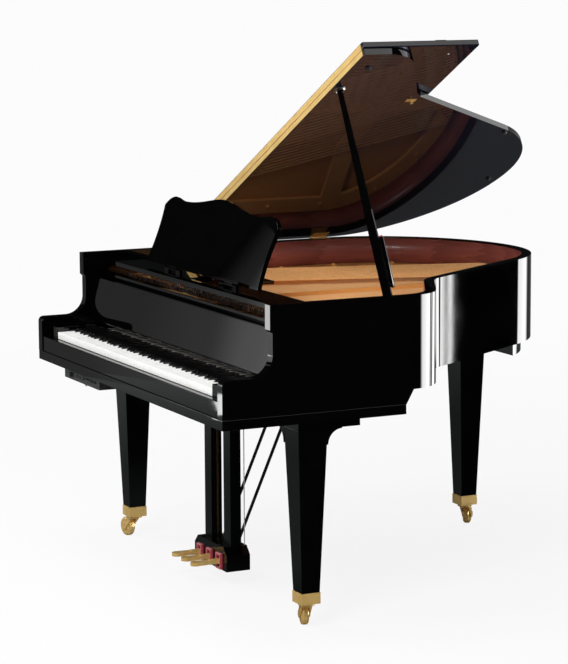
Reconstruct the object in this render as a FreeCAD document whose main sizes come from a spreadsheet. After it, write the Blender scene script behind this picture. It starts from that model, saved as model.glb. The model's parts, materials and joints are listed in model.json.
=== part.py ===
import FreeCAD, Part
import math
import os
import re
from types import SimpleNamespace
from FreeCAD import Placement, Rotation, Vector

# Baby grand piano with its lid up on the long prop, in millimetres.
# The model is laid out from the middle of the keybed's front edge, on the floor:
# X to the treble, Y to the tail, Z up. It is written out about the middle of its footprint.

SIZES = [
    # case
    ("block_width", 83), ("case_length", 1508), ("rim_over_shelf", 17), ("rim_step", 42),
    ("rim_thick", 32), ("inner_rim_thick", 42), ("side_length", 600), ("bend_radius", 140),
    ("bend_turn", 62), ("bend_run", 211.8), ("waist_radius", 150), ("tail_radius_treble", 415),
    ("tail_radius_bass", 545), ("tail_turn_bass", 60), ("spine_radius", 336),
    ("keybed_under", 621), ("keybed_thick", 30), ("keybed_depth", 586), ("cheek_cove", 24),
    ("arm_height", 112), ("arm_round", 16), ("arm_level", 95), ("cove_radius", 62),
    ("stile_lip", 8), ("stile_head", 79), ("overrun", 5), ("fit_gap", 0.3),
    # keyboard
    ("key_pitch", 23.5), ("key_gap", 1), ("key_front", 23), ("key_level", 72), ("key_thick", 22),
    ("key_head", 50), ("key_length", 392), ("black_width", 10.5), ("black_rise", 12),
    ("black_cap", 97), ("black_slope", 8), ("black_shift", 2.5), ("key_well", 8),
    ("balance_from_front", 220), ("slip_front", 3), ("slip_thick", 18), ("slip_height", 49),
    ("block_height", 87), ("block_depth", 136),
    ("front_rail_depth", 45), ("front_rail_height", 37), ("balance_rail_depth", 14),
    ("back_rail_depth", 32), ("rail_room", 0.6), ("runner_width", 20), ("runner_height", 21),
    ("bracket_width", 15), ("bracket_room", 7),
    # fallboard and stretcher
    ("fall_thick", 18), ("fall_height", 133), ("fall_lean", 8), ("fall_after_keys", 3),
    ("fall_pivot_rise", 32), ("fall_end_gap", 3), ("fall_pin_radius", 5), ("fall_pin_reach", 8),
    ("stretcher_back", 36), ("stretcher_thick", 24), ("stretcher_height", 105), ("stretcher_drop", 45),
    # music desk
    ("shelf_lip", 3), ("shelf_depth", 123), ("shelf_room", 32), ("shelf_thick", 14),
    ("shelf_end_gap", 8), ("tongue_width", 120), ("tongue_depth", 155), ("tongue_thick", 10),
    ("tongue_drop", 10), ("recess_front", 20),
    ("desk_rail_width", 36), ("desk_rail_height", 16), ("desk_rail_length", 240),
    ("desk_back", 55), ("desk_pivot_rise", 8), ("desk_lean", 21), ("desk_thick", 14),
    ("desk_bottom_width", 836), ("desk_waist_width", 810), ("desk_shoulder_width", 836),
    ("desk_corner_width", 690),
    ("desk_shoulder", 196), ("desk_corner", 229), ("desk_dip", 221), ("desk_height", 249),
    ("desk_foot", 6), ("ledge_depth", 20), ("ledge_thick", 9), ("ledge_width", 640),
    ("stay_up", 100), ("stay_off", 13), ("stay_length", 115), ("stay_width", 70), ("stay_thick", 7),
    ("stay_turn", 26), ("stay_ear", 6), ("desk_knuckle_radius", 5), ("desk_knuckle_width", 60),
    ("desk_pin_radius", 2.4), ("desk_tab_width", 30),
    # inside of the case
    ("belly_gap", 55), ("belly_thick", 35), ("board_thick", 9), ("skirt_height", 16),
    ("beam_width", 55), ("beam_height", 92), ("rib_width", 22), ("rib_height", 20), ("rib_gap", 1),
    ("rib_turn", 30),
    ("block_short", 3), ("string_clear", 6), ("pin_block_thick", 38),
    ("plate_thick", 12), ("plate_gap", 1.5), ("plate_flange", 60), ("plate_skirt", 20),
    ("web_behind", 4), ("strut_width", 12), ("strut_back", 13.5), ("strut_height", 31),
    ("hitch_web_width", 70),
    ("plate_hole_radius", 27), ("string_rise", 161), ("bass_over", 17),
    ("plain_radius", 0.55), ("wound_radius", 1.6), ("string_step", 2.2), ("pin_step", 4.6),
    ("pin_radius", 3), ("pin_height", 26), ("pin_after_stretcher", 41), ("pin_row_step", 33),
    ("bearing_ahead", 72), ("section_gap", 16), ("bass_gap", 22), ("bridge_width", 28),
    ("bridge_back", 95), ("bridge_room", 2.5),
    ("hitch_inset", 30), ("bass_slant", 16),
    # action
    ("strike_back", 20), ("hammer_under", 69), ("hammer_reach", 118), ("hammer_depth", 18),
    ("hammer_width", 9), ("hammer_drop", 9), ("hammer_blow", 20), ("hammer_tip", 6),
    ("hammer_room", 1.5), ("shank_thick", 5), ("hammer_rail_depth", 12), ("hammer_rail_height", 17),
    ("damper_ahead", 30), ("damper_depth", 28), ("damper_height", 17), ("damper_width", 11),
    ("damper_wire_radius", 0.9), ("damper_room", 0.6), ("tray_below", 118), ("tray_thick", 14),
    ("tray_depth", 21),
    # legs and casters
    ("leg_inset", 81), ("leg_y", 300), ("rear_leg_in", 432), ("rear_leg_back", 133),
    ("leg_top_size", 94), ("leg_foot_size", 58), ("ferrule_top", 110),
    ("ferrule_under", 77), ("ferrule_lip", 2), ("corbel_thick", 26), ("corbel_back", 105),
    ("corbel_side", 62), ("corbel_lip", 4), ("rear_block", 150), ("beam_across", 46),
    ("wheel_radius", 32), ("wheel_width", 22), ("wheel_round", 7), ("wheel_hub_gap", 1),
    ("caster_trail", 44), ("cheek_thick", 5), ("cheek_round", 11), ("axle_radius", 5),
    ("axle_gap", 0.3), ("fork_plate_thick", 7), ("fork_plate_radius", 24), ("fork_room", 0.4),
    ("caster_turn_bass", 190), ("caster_turn_treble", 163), ("caster_turn_rear", 138),
    # pedal lyre
    ("post_inner", 46), ("post_width", 50), ("post_front", 313), ("post_depth", 36),
    ("lyre_width", 244), ("lyre_front", 287), ("lyre_depth", 80), ("lyre_under", 50),
    ("lyre_top", 125), ("lyre_shoulder", 24), ("pedal_step", 72), ("pedal_pivot_y", 318),
    ("pedal_z", 77), ("pedal_toe_y", 188), ("pedal_toe_width", 32), ("pedal_toe_length", 62),
    ("pedal_toe_thick", 11), ("pedal_bar_width", 18), ("pedal_bar_thick", 14),
    ("pedal_slot_gap", 3), ("pedal_slot_low", 58), ("pedal_slot_high", 97), ("pedal_rear_y", 360),
    ("pedal_pin_radius", 4), ("rod_y", 356), ("rod_radius", 3.5), ("rod_gap", 0.6), ("rod_end_gap", 6),
    ("bush_depth", 8), ("bush_wall", 5), ("brace_x", 52), ("brace_low_y", 358),
    ("brace_inset", 11), ("brace_radius", 5), ("cable_x", 100), ("cable_y", 359), ("cable_radius", 1.6),
    # lid
    ("lid_thick", 18.5), ("lid_over", 12), ("lid_spine_over", 11.9), ("lid_gap", 3), ("lid_open", 27.5),
    ("lid_split_back", 69), ("flap_depth", 388), ("fold_gap", 4.4), ("leaf_thick", 1.6), ("leaf_edge", 3.2),
    ("leaf_short", 14), ("knuckle_radius", 2),
    ("knuckle_pin_radius", 1), ("knuckle_gap", 0.3), ("hinge_barrel_radius", 4.5), ("hinge_pin_radius", 2.2),
    ("hinge_leaf_thick", 1.2), ("hinge_length", 60), ("hinge_leaf", 31), ("hinge_after_flap", 29),
    ("hinge_before_bend", 32.5), ("prop_inset", 24), ("prop_back", 42), ("prop_drop", 23),
    ("prop_lie", 140.5), ("prop_foot_width", 26), ("prop_tip_width", 13), ("prop_thick", 13),
    ("prop_tip_gap", 0.6), ("prop_barrel_radius", 9), ("prop_pin_radius", 5), ("prop_pin_gap", 0.3),
    ("prop_plate_thick", 4), ("prop_plate_size", 32), ("prop_cap", 3),
    ("short_start", 45), ("short_length", 152), ("short_width", 13), ("short_gap", 0.6),
    ("short_pin_radius", 3),
    # control unit
    ("unit_inset", 200), ("unit_width", 300), ("unit_front", 14), ("unit_depth", 110),
    ("unit_height", 32), ("knob_radius", 8), ("knob_reach", 10), ("knob_shaft_radius", 3),
    ("knob_from_left", 60), ("jack_radius", 3.2), ("jack_deep", 18), ("jack_from_left", 110),
    ("jack_step", 24), ("jack_collar", 6), ("inlet_width", 14), ("inlet_height", 9), ("inlet_deep", 10),
]

# Sizes that follow from the ones above: widths from the keys, heights from the keybed up
FOLLOWING = [
    ("brace_high_y", "keybed_depth - brace_inset"),
    ("case_width", "WHITE_COUNT * key_pitch + key_well + 2 * block_width + 2 * rim_thick"),
    ("keybed_top", "keybed_under + keybed_thick"),
    ("key_top", "keybed_top + key_level"),
    ("arm_top", "keybed_top + arm_height"),
    ("rim_under", "keybed_top + rim_step"),
    ("string_height", "key_top + string_rise"),
    ("bass_string_height", "string_height + bass_over"),
    ("block_top", "string_height - string_clear - plate_thick"),
    ("board_top", "block_top - skirt_height"),
    ("pin_top", "block_top + plate_thick + pin_height"),
    ("shelf_top", "pin_top + shelf_room + shelf_thick"),
    ("rim_top", "shelf_top + rim_over_shelf"),
    ("stile_lip_under", "rim_top - stile_head"),
    ("stretcher_top", "shelf_top - stretcher_drop"),
    ("stretcher_under", "stretcher_top - stretcher_height"),
    ("desk_pivot_z", "shelf_top + desk_pivot_rise"),
    ("hammer_pivot_z", "string_height - hammer_under"),
    ("tray_top", "string_height - tray_below"),
    ("fall_pivot_z", "key_top + fall_pivot_rise"),
    ("rod_top", "keybed_under - rod_end_gap"),
    ("prop_z", "rim_top - prop_drop"),
    ("fall_pivot_y", "key_front + key_head + key_gap + black_cap + fall_after_keys"),
    ("stretcher_front", "fall_pivot_y + stretcher_back"),
    ("shelf_front", "stretcher_front - shelf_lip"),
    ("desk_pivot_y", "shelf_front + desk_back"),
    ("pin_row_first", "stretcher_front + stretcher_thick + pin_after_stretcher"),
    ("belly_front", "key_front + key_length + belly_gap"),
    ("bearing_y", "belly_front - bearing_ahead"),
    ("plate_web_rear", "bearing_y + web_behind"),
    ("block_rear", "bearing_y - block_short"),
    ("hammer_pivot_y", "bearing_y + strike_back - hammer_reach"),
    ("damper_front", "belly_front - damper_ahead"),
    ("lid_front", "side_length - lid_split_back"),
    ("prop_x", "case_width / 2 - rim_thick - prop_inset"),
    ("prop_y", "side_length - prop_back"),
    ("leg_out", "case_width / 2 - leg_inset"),
    ("rear_leg_x", "rear_leg_in - case_width / 2"),
    ("rear_leg_y", "case_length - rear_leg_back"),
    ("unit_left", "unit_inset - case_width / 2"),
]

WHITE_COUNT = 52
NOTE_COUNT = 88
BASS_NOTES = 26
SINGLE_NOTES = 8
DAMPED_NOTES = 66
SECTION_BREAKS = (26, 46, 67)
LETTERS = "ABCDEFG"
HINGE_SEGMENTS = 20
BUTT_SEGMENTS = 5

BRIDGE_NOTES = 5
SETTLE_ROUNDS = 12

# Shares of the black keys' shift by the white key before them, of the string step and of the key span
black_shift_shares = {"A": 1.0, "C": -1.0, "D": 1.0, "F": -1.2, "G": 0.0}
single_shares = (0,)
pair_shares = (-0.8, 0.8)
triple_shares = (-1, 0, 1)
runner_shares = (-1, -1 / 3, 1 / 3, 1)

# Shares of the half width (x) and of the length (y), chosen by hand
beam_start_shares = ((-0.55, 0.0), (-0.2, 0.0), (0.15, 0.0), (0.52, 0.0))
beam_end_shares = ((-0.62, 1.0), (-0.33, 1.0), (0.0, 1.0), (0.4, 1.0))
rib_middle_shares = (0.42, 0.5, 0.58, 0.66, 0.74, 0.82)
hitch_web_shares = ((-0.56, 0.71), (0.4, 0.9))
plate_hole_shares = ((0.855, 0.33), (0.79, 0.415), (0.49, 0.545), (0.335, 0.7), (0.16, 0.845))
hammer_face_share = 0.3
fork_neck_share = 0.62

doc = FreeCAD.newDocument("BabyGrand")
sheet = doc.addObject("Spreadsheet::Sheet", "Sizes")
CELLS = [(alias, str(value)) for alias, value in SIZES]
CELLS += [(alias, "=" + rule.replace("WHITE_COUNT", str(WHITE_COUNT))) for alias, rule in FOLLOWING]
for row, (alias, text) in enumerate(CELLS, start=1):
    sheet.set("A%d" % row, alias)
    sheet.set("B%d" % row, text)
    sheet.setAlias("B%d" % row, alias)
doc.recompute()
S = SimpleNamespace(**{alias: float(getattr(sheet, alias)) for alias, _ in CELLS})
WORDS = re.compile(r"\b(" + "|".join(sorted((a for a, _ in CELLS), key=len, reverse=True)) + r")\b")
PARTS = {}


# Helpers for objects that are bound to the sheet
def linked(text):
    return WORDS.sub(r"Sizes.\1", text)


def bind(item, **formulas):
    for name, text in formulas.items():
        item.setExpression(name.replace("__", "."), linked(text))
    return item


def place(item, x, y, z):
    return bind(item, Placement__Base__x=x, Placement__Base__y=y, Placement__Base__z=z)


def keep(item, name):
    item.Label = name
    PARTS[name] = item
    return item


def box(name, length, width, height, x, y, z):
    item = doc.addObject("Part::Box", name)
    bind(item, Length=length, Width=width, Height=height)
    return place(item, x, y, z)


def rod(name, radius, height, x, y, z, axis=None):
    item = doc.addObject("Part::Cylinder", name)
    bind(item, Radius=radius, Height=height)
    if axis is not None:
        item.Placement = Placement(Vector(), Rotation(Vector(0, 0, 1), axis))
    return place(item, x, y, z)


def cut(name, base, tool):
    item = doc.addObject("Part::Cut", name)
    item.Base = base
    item.Tool = tool
    return item


def fuse(name, items):
    item = doc.addObject("Part::MultiFuse", name)
    item.Shapes = items
    item.Refine = True
    return item


def group(name, items):
    item = doc.addObject("Part::Compound", name)
    item.Links = items
    return item


def feature(name, shape):
    item = doc.addObject("Part::Feature", name)
    item.Shape = shape
    return keep(item, name)


# Helpers for computed shapes
def polygon(points):
    return Part.Face(Part.makePolygon(list(points) + [points[0]]))


def profile_x(points, x_from, x_to):
    face = polygon([Vector(x_from, y, z) for y, z in points])
    return face.extrude(Vector(x_to - x_from, 0, 0))


def profile_y(points, y_from, y_to):
    face = polygon([Vector(x, y_from, z) for x, z in points])
    return face.extrude(Vector(0, y_to - y_from, 0))


def profile_z(points, z_from, z_to):
    face = polygon([Vector(x, y, z_from) for x, y in points])
    return face.extrude(Vector(0, 0, z_to - z_from))


def brick(x0, x1, y0, y1, z0, z1):
    return Part.makeBox(x1 - x0, y1 - y0, z1 - z0, Vector(x0, y0, z0))


def tube(start, end, radius):
    run = end - start
    return Part.makeCylinder(radius, run.Length, start, run)


def tube_x(x_from, x_to, y, z, radius):
    return tube(Vector(x_from, y, z), Vector(x_to, y, z), radius)


def tube_y(x, y_from, y_to, z, radius):
    return tube(Vector(x, y_from, z), Vector(x, y_to, z), radius)


def smooth_strip(points, half):
    near = [Vector(x, y - half, 0) for x, y in points]
    far = [Vector(x, y + half, 0) for x, y in reversed(points)]
    sides = []
    for line in (near, far):
        curve = Part.BSplineCurve()
        curve.interpolate(line)
        sides.append(curve.toShape())
    ends = [Part.makeLine(near[-1], far[0]), Part.makeLine(far[-1], near[0])]
    return Part.Face(Part.Wire([sides[0], ends[0], sides[1], ends[1]]))


# Derived places
half_width = S.case_width / 2
rim_inner = half_width - S.rim_thick
stile_front = S.arm_level + S.cove_radius
key_under = S.key_top - S.key_thick
key_rear = S.key_front + S.key_length
key_span = WHITE_COUNT * S.key_pitch
well_half = key_span / 2 + S.key_well / 2
balance_y = S.key_front + S.balance_from_front
board_under = S.board_top - S.board_thick
plate_top = S.block_top + S.plate_thick
hinge_x = -half_width - S.hinge_barrel_radius - S.fit_gap
hinge_z = S.rim_top + S.lid_gap / 2
lid_under = S.rim_top + S.lid_gap
lid_top = lid_under + S.lid_thick
fold_z = lid_top + S.fold_gap / 2
lid_right = half_width + S.lid_over
lid_turn = Placement(Vector(), Rotation(Vector(0, -1, 0), S.lid_open), Vector(hinge_x, 0, hinge_z))
middle_y = (S.case_length + S.lid_over) / 2
open_turn = math.radians(S.lid_open)
flap_top = lid_top + S.fold_gap + S.lid_thick
lid_left = hinge_x - (half_width + hinge_x) * math.cos(open_turn) - (flap_top - hinge_z) * math.sin(open_turn)
middle_x = (half_width + lid_left) / 2


# Outline of the rim: straight treble side, bend, waist, tail and spine as tangent runs
def rim_plan():
    bend = math.radians(S.bend_turn)
    bass = math.radians(S.tail_turn_bass)
    tail_x = -half_width + S.tail_radius_bass * math.sin(bass)
    tail_x += S.spine_radius * (1 - math.sin(bass))
    bend_c = Vector(half_width - S.bend_radius, S.side_length, 0)
    bend_end = bend_c + Vector(math.cos(bend), math.sin(bend), 0) * S.bend_radius
    tail_c = Vector(tail_x, S.case_length - S.tail_radius_treble, 0)
    waist_start = bend_end + Vector(-math.sin(bend), math.cos(bend), 0) * S.bend_run
    waist_c = waist_start + Vector(math.cos(bend), math.sin(bend), 0) * S.waist_radius
    apart = tail_c - waist_c
    radii = S.waist_radius + S.tail_radius_treble
    straight = math.sqrt(apart.Length ** 2 - radii ** 2)
    run = math.atan2(apart.y, apart.x) - math.atan2(radii, straight) - math.pi / 2
    bass_c = Vector(tail_x, S.case_length - S.tail_radius_bass, 0)
    bass_end = bass_c + Vector(-math.sin(bass), math.cos(bass), 0) * S.tail_radius_bass
    spine_c = bass_end + Vector(math.sin(bass), -math.cos(bass), 0) * S.spine_radius
    quarter = math.pi / 2
    return [
        (bend_c, S.bend_radius, 0.0, bend, 1),
        (waist_c, S.waist_radius, bend + math.pi, run + math.pi, -1),
        (tail_c, S.tail_radius_treble, run, quarter, 1),
        (bass_c, S.tail_radius_bass, quarter, quarter + bass, 1),
        (spine_c, S.spine_radius, quarter + bass, math.pi, 1),
    ]


RIM_ARCS = rim_plan()


def on_arc(centre, radius, angle):
    return centre + Vector(math.cos(angle), math.sin(angle), 0) * radius


def rim_edges(inset, front):
    edges = []
    last = Vector(half_width - inset, front, 0)
    for centre, radius, start, end, side in RIM_ARCS:
        reach = radius - side * inset
        first = on_arc(centre, reach, start)
        middle = on_arc(centre, reach, (start + end) / 2)
        final = on_arc(centre, reach, end)
        if last.distanceToPoint(first) > S.fit_gap / 2:
            edges.append(Part.makeLine(last, first))
            last = first
        edges.append(Part.Arc(last, middle, final).toShape())
        last = final
    edges.append(Part.makeLine(last, Vector(-half_width + inset, front, 0)))
    return edges


def rim_prism(inset, front, low, high):
    edges = rim_edges(inset, front)
    close = Part.makeLine(edges[-1].Vertexes[-1].Point, edges[0].Vertexes[0].Point)
    face = Part.Face(Part.Wire(edges + [close]))
    face.translate(Vector(0, 0, low))
    return face.extrude(Vector(0, 0, high - low))


def rim_reach(x, inset):
    best = 0.0
    for centre, radius, start, end, side in RIM_ARCS[1:4]:
        reach = radius - side * inset
        off = x - centre.x
        if abs(off) > reach:
            continue
        drop = math.sqrt(reach * reach - off * off)
        y = centre.y + side * drop
        angle = math.atan2(side * drop, off) % (2 * math.pi)
        if min(start, end) <= angle <= max(start, end):
            best = max(best, y)
    if best == 0.0:
        bend_c, bend_r, bend_from, bend_to, bend_side = RIM_ARCS[0]
        waist_c, waist_r, waist_from, waist_to, waist_side = RIM_ARCS[1]
        tail_c, tail_r, tail_from, tail_to, tail_side = RIM_ARCS[2]
        runs = (
            (on_arc(bend_c, bend_r - inset, bend_to), on_arc(waist_c, waist_r + inset, waist_from)),
            (on_arc(waist_c, waist_r + inset, waist_to), on_arc(tail_c, tail_r - inset, tail_from)),
        )
        for a, b in runs:
            if min(a.x, b.x) <= x <= max(a.x, b.x):
                best = a.y + (b.y - a.y) * (x - a.x) / (b.x - a.x)
        if best == 0.0:
            off = min(max(x - bend_c.x, 0.0), bend_r - inset)
            best = bend_c.y + math.sqrt((bend_r - inset) ** 2 - off * off)
    return best


# Case
def arm_cut():
    back = stile_front
    high = S.rim_top + S.overrun
    centre = Vector(0, S.arm_level, S.arm_top + S.cove_radius)
    low = Vector(0, S.arm_level, S.arm_top)
    mid = centre + Vector(0, math.sin(math.pi / 4), -math.cos(math.pi / 4)) * S.cove_radius
    side = Vector(0, back, S.arm_top + S.cove_radius)
    round_c = Vector(0, S.arm_round, S.arm_top - S.arm_round)
    round_mid = round_c + Vector(0, -math.sin(math.pi / 4), math.cos(math.pi / 4)) * S.arm_round
    front_low = Vector(0, 0, S.arm_top - S.arm_round)
    front_top = Vector(0, S.arm_round, S.arm_top)
    corners = [
        side,
        Vector(0, back, S.stile_lip_under),
        Vector(0, back - S.stile_lip, S.stile_lip_under + S.stile_lip),
        Vector(0, back - S.stile_lip, high),
        Vector(0, -S.overrun, high),
        Vector(0, -S.overrun, S.arm_top - S.arm_round),
        front_low,
    ]
    edges = [Part.makeLine(a, b) for a, b in zip(corners, corners[1:])]
    edges.append(Part.Arc(front_low, round_mid, front_top).toShape())
    edges.append(Part.makeLine(front_top, low))
    edges.append(Part.Arc(low, mid, side).toShape())
    face = Part.Face(Part.Wire(edges))
    face.translate(Vector(-half_width - S.overrun, 0, 0))
    return face.extrude(Vector(S.case_width + 2 * S.overrun, 0, 0))


def make_outer_rim():
    ring = rim_prism(0, 0, S.rim_under, S.rim_top)
    hollow = rim_prism(S.rim_thick, -S.overrun, S.rim_under - S.overrun, S.rim_top + S.overrun)
    body = ring.cut(hollow)
    step = S.rim_under - S.keybed_top
    cheek = [(0, S.keybed_top), (S.keybed_depth, S.keybed_top), (S.keybed_depth + S.cheek_cove, S.rim_under)]
    cheek += [(S.keybed_depth + S.cheek_cove, S.rim_under + step), (0, S.rim_under + step)]
    for side in (-1, 1):
        inner = side * rim_inner
        outer = side * half_width
        body = body.fuse(profile_x(cheek, min(inner, outer), max(inner, outer)))
    body = body.cut(arm_cut())
    for side in (-1, 1):
        start = side * (rim_inner - S.overrun)
        end = side * (rim_inner + S.fall_pin_reach)
        body = body.cut(tube_x(start, end, S.fall_pivot_y, S.fall_pivot_z, S.fall_pin_radius + S.fit_gap))
    feature("outer_rim", body.removeSplitter())


def make_inner_rim():
    low = S.rim_under
    start = S.belly_front + S.belly_thick
    ring = rim_prism(S.rim_thick, start, low, board_under)
    inner = S.rim_thick + S.inner_rim_thick
    hollow = rim_prism(inner, start - S.overrun, low - S.overrun, board_under + S.overrun)
    feature("inner_rim", ring.cut(hollow))


def make_back_beams():
    start_y = S.belly_front + S.belly_thick
    belly = brick(-rim_inner, rim_inner, S.belly_front, start_y, S.rim_under, board_under)
    solids = [belly]
    top = S.rim_under + S.beam_height
    inside = rim_prism(S.rim_thick + S.inner_rim_thick, start_y, S.rim_under, top)
    for (start_x, _), (end_x, end_y) in zip(beam_start_shares, beam_end_shares):
        half = S.beam_width / 2
        near = start_x * half_width
        far = end_x * half_width
        rear = end_y * S.case_length
        plan = [(near - half, start_y), (near + half, start_y), (far + half, rear), (far - half, rear)]
        solids.extend(profile_z(plan, S.rim_under, top).common(inside).Solids)
    feature("back_beams", Part.Compound(solids))


def make_soundboard():
    start = S.belly_front
    panel = rim_prism(S.rim_thick + S.fit_gap, start, board_under, S.board_top)
    solids = [panel]
    inset = S.rim_thick + S.inner_rim_thick + S.rib_gap
    room_start = start + S.belly_thick + S.rib_gap
    room = rim_prism(inset, room_start, board_under - S.rib_height, board_under)
    for share in rib_middle_shares:
        middle = share * S.case_length
        half = S.rib_width / 2
        rise = half_width * math.tan(math.radians(S.rib_turn))
        plan = [(-half_width, middle - rise - half), (half_width, middle + rise - half)]
        plan += [(half_width, middle + rise + half), (-half_width, middle - rise + half)]
        rib = profile_z(plan, board_under - S.rib_height, board_under).common(room)
        solids.extend(rib.Solids)
    feature("soundboard", Part.Compound(solids))


# Stringing: where each note's strings begin and end
def note_x(note):
    gaps = len(SECTION_BREAKS) * S.section_gap + S.bass_gap
    pitch = (key_span - gaps) / NOTE_COUNT
    passed = sum(1 for at in SECTION_BREAKS if note >= at) * S.section_gap
    passed += S.bass_gap if note >= BASS_NOTES else 0
    return -key_span / 2 + pitch * (note + 0.5) + passed


def web_line(x):
    (ax, ay), (bx, by) = hitch_web_shares
    ax, bx = ax * half_width, bx * half_width
    ay, by = ay * S.case_length, by * S.case_length
    return ay + (by - ay) * (x - ax) / (bx - ax)


def treble_end(note):
    x = note_x(note)
    return min(rim_reach(x, S.rim_thick + S.hitch_inset), web_line(x))


def bass_at(note, y):
    return note_x(note) + math.tan(math.radians(S.bass_slant)) * (y - S.bearing_y)


def bass_end(note):
    y = S.case_length - S.rim_thick - S.hitch_inset
    inset = S.rim_thick + S.hitch_inset
    for _ in range(SETTLE_ROUNDS):
        y = rim_reach(bass_at(note, y), inset)
    return y


def strings_of(note):
    if note >= BASS_NOTES:
        return triple_shares
    if note < SINGLE_NOTES:
        return single_shares
    return pair_shares


def make_strings():
    pins, plain, wound = [], [], []
    for note in range(NOTE_COUNT):
        bass = note < BASS_NOTES
        z = S.bass_string_height if bass else S.string_height
        thick = S.wound_radius if bass else S.plain_radius
        bucket = wound if bass else plain
        for row, side in enumerate(strings_of(note)):
            x = note_x(note) + side * S.string_step
            pin_x = note_x(note) + side * S.pin_step
            pin_y = S.pin_row_first + row * S.pin_row_step
            foot = Vector(pin_x, pin_y, plate_top)
            top = Vector(pin_x, pin_y, max(S.pin_top, z + S.pin_radius))
            pins.append(tube(foot, top, S.pin_radius))
            lead_start = Vector(pin_x, pin_y + S.pin_radius, z)
            lead_end = Vector(x, S.bearing_y, z)
            bucket.append(tube(lead_start, lead_end, thick if not bass else S.plain_radius))
            end_y = bass_end(note) if bass else treble_end(note)
            end_x = bass_at(note, end_y) + side * S.string_step if bass else x
            bucket.append(tube(lead_end, Vector(end_x, end_y, z), thick))
    feature("tuning_pins", Part.Compound(pins))
    feature("treble_strings", Part.Compound(plain))
    feature("bass_strings", Part.Compound(wound))


def bridge_lines():
    treble = []
    for note in range(NOTE_COUNT - 1, BASS_NOTES - 1, -BRIDGE_NOTES):
        treble.append((note_x(note), treble_end(note) - S.bridge_back))
    bass = []
    for note in range(0, BASS_NOTES, BRIDGE_NOTES):
        y = bass_end(note) - S.bridge_back
        bass.append((bass_at(note, y), y))
    treble.reverse()
    return (treble, S.string_height - S.plain_radius), (bass, S.bass_string_height - S.wound_radius)


def bridge_block(points, half, low, high):
    face = smooth_strip(points, half)
    face.translate(Vector(0, 0, low))
    return face.extrude(Vector(0, 0, high - low))


def make_bridges():
    solids = []
    for points, under_string in bridge_lines():
        top = under_string - S.fit_gap / 2
        solids.append(bridge_block(points, S.bridge_width / 2, S.board_top, top))
    feature("bridges", Part.Compound(solids))


def make_iron_plate():
    outer = S.rim_thick + S.plate_gap
    front = S.stretcher_front + S.stretcher_thick
    slab = rim_prism(outer, front, S.block_top, plate_top)
    inner = outer + S.plate_flange
    low, high = S.block_top - S.overrun, plate_top + S.overrun
    body = slab.cut(rim_prism(inner, S.plate_web_rear, low, high))
    skirt = rim_prism(outer, S.belly_front, S.board_top, S.block_top)
    skirt_in = outer + S.plate_skirt
    skirt_front = S.belly_front - S.overrun
    skirt = skirt.cut(rim_prism(skirt_in, skirt_front, S.board_top - S.overrun, high))
    body = body.fuse(skirt)
    tall = S.block_top + S.strut_height
    room = rim_prism(outer + S.plate_flange / 2, front, S.block_top, tall)
    for at in SECTION_BREAKS:
        x = note_x(at) - S.strut_back
        strut = brick(
            x - S.strut_width / 2, x + S.strut_width / 2, S.plate_web_rear - S.strut_height,
            rim_reach(x, inner), S.block_top, tall)
        body = body.fuse(strut.common(room))
    (left_share, left_rear_share), (right_share, right_rear_share) = hitch_web_shares
    left, right = left_share * half_width, right_share * half_width
    left_y = left_rear_share * S.case_length - S.strut_width
    right_y = right_rear_share * S.case_length - S.strut_width
    deep = S.hitch_web_width
    web = [(left, left_y), (right, right_y), (right, right_y + deep), (left, left_y + deep)]
    web_room = rim_prism(outer, front, S.block_top, plate_top)
    body = body.fuse(profile_z(web, S.block_top, plate_top).common(web_room))
    spine_link = brick(
        -rim_inner + S.plate_gap + S.plate_skirt, left + S.strut_width,
        left_y, left_y + S.hitch_web_width, S.block_top, plate_top)
    body = body.fuse(spine_link)
    for points, under_string in bridge_lines():
        half = S.bridge_width / 2 + S.bridge_room
        body = body.cut(bridge_block(points, half, S.board_top, under_string + S.bridge_room))
    for share_x, share_y in plate_hole_shares:
        at = Vector(share_x * half_width, share_y * S.case_length, low)
        body = body.cut(Part.makeCylinder(S.plate_hole_radius, high - low, at))
    feature("iron_plate", body.removeSplitter())


# Keys
def key_table():
    keys = []
    left = -key_span / 2
    black = 0
    note = 0
    for white in range(WHITE_COUNT):
        letter = LETTERS[white % 7]
        keys.append(("white", white, note, left + white * S.key_pitch, letter))
        note += 1
        if letter in black_shift_shares and white < WHITE_COUNT - 1:
            shift = black_shift_shares[letter] * S.black_shift
            keys.append(("black", black, note, left + (white + 1) * S.key_pitch + shift, letter))
            black += 1
            note += 1
    return keys


KEYS = key_table()


def white_key(at):
    _, white, note, left, letter = KEYS[at]
    half_gap = S.key_gap / 2
    x0, x1 = left + half_gap, left + S.key_pitch - half_gap
    tail0, tail1 = x0, x1
    if at > 0 and KEYS[at - 1][0] == "black":
        tail0 = KEYS[at - 1][3] + S.black_width / 2 + half_gap
    if at + 1 < len(KEYS) and KEYS[at + 1][0] == "black":
        tail1 = KEYS[at + 1][3] - S.black_width / 2 - half_gap
    neck = S.key_front + S.key_head
    plan = [(x0, S.key_front), (x1, S.key_front), (x1, neck)]
    if tail1 != x1:
        plan.append((tail1, neck))
    plan += [(tail1, key_rear), (tail0, key_rear)]
    if tail0 != x0:
        plan.append((tail0, neck))
    plan.append((x0, neck))
    return profile_z(plan, key_under, S.key_top)


def black_key(at):
    x = KEYS[at][3]
    half = S.black_width / 2
    front = S.key_front + S.key_head + S.key_gap
    top = S.key_top + S.black_rise
    side = [(front, key_under), (key_rear, key_under), (key_rear, S.key_top)]
    side += [(front + S.black_cap, S.key_top), (front + S.black_cap, top)]
    side += [(front + S.black_slope, top), (front, S.key_top)]
    return profile_x(side, x - half, x + half)


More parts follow.
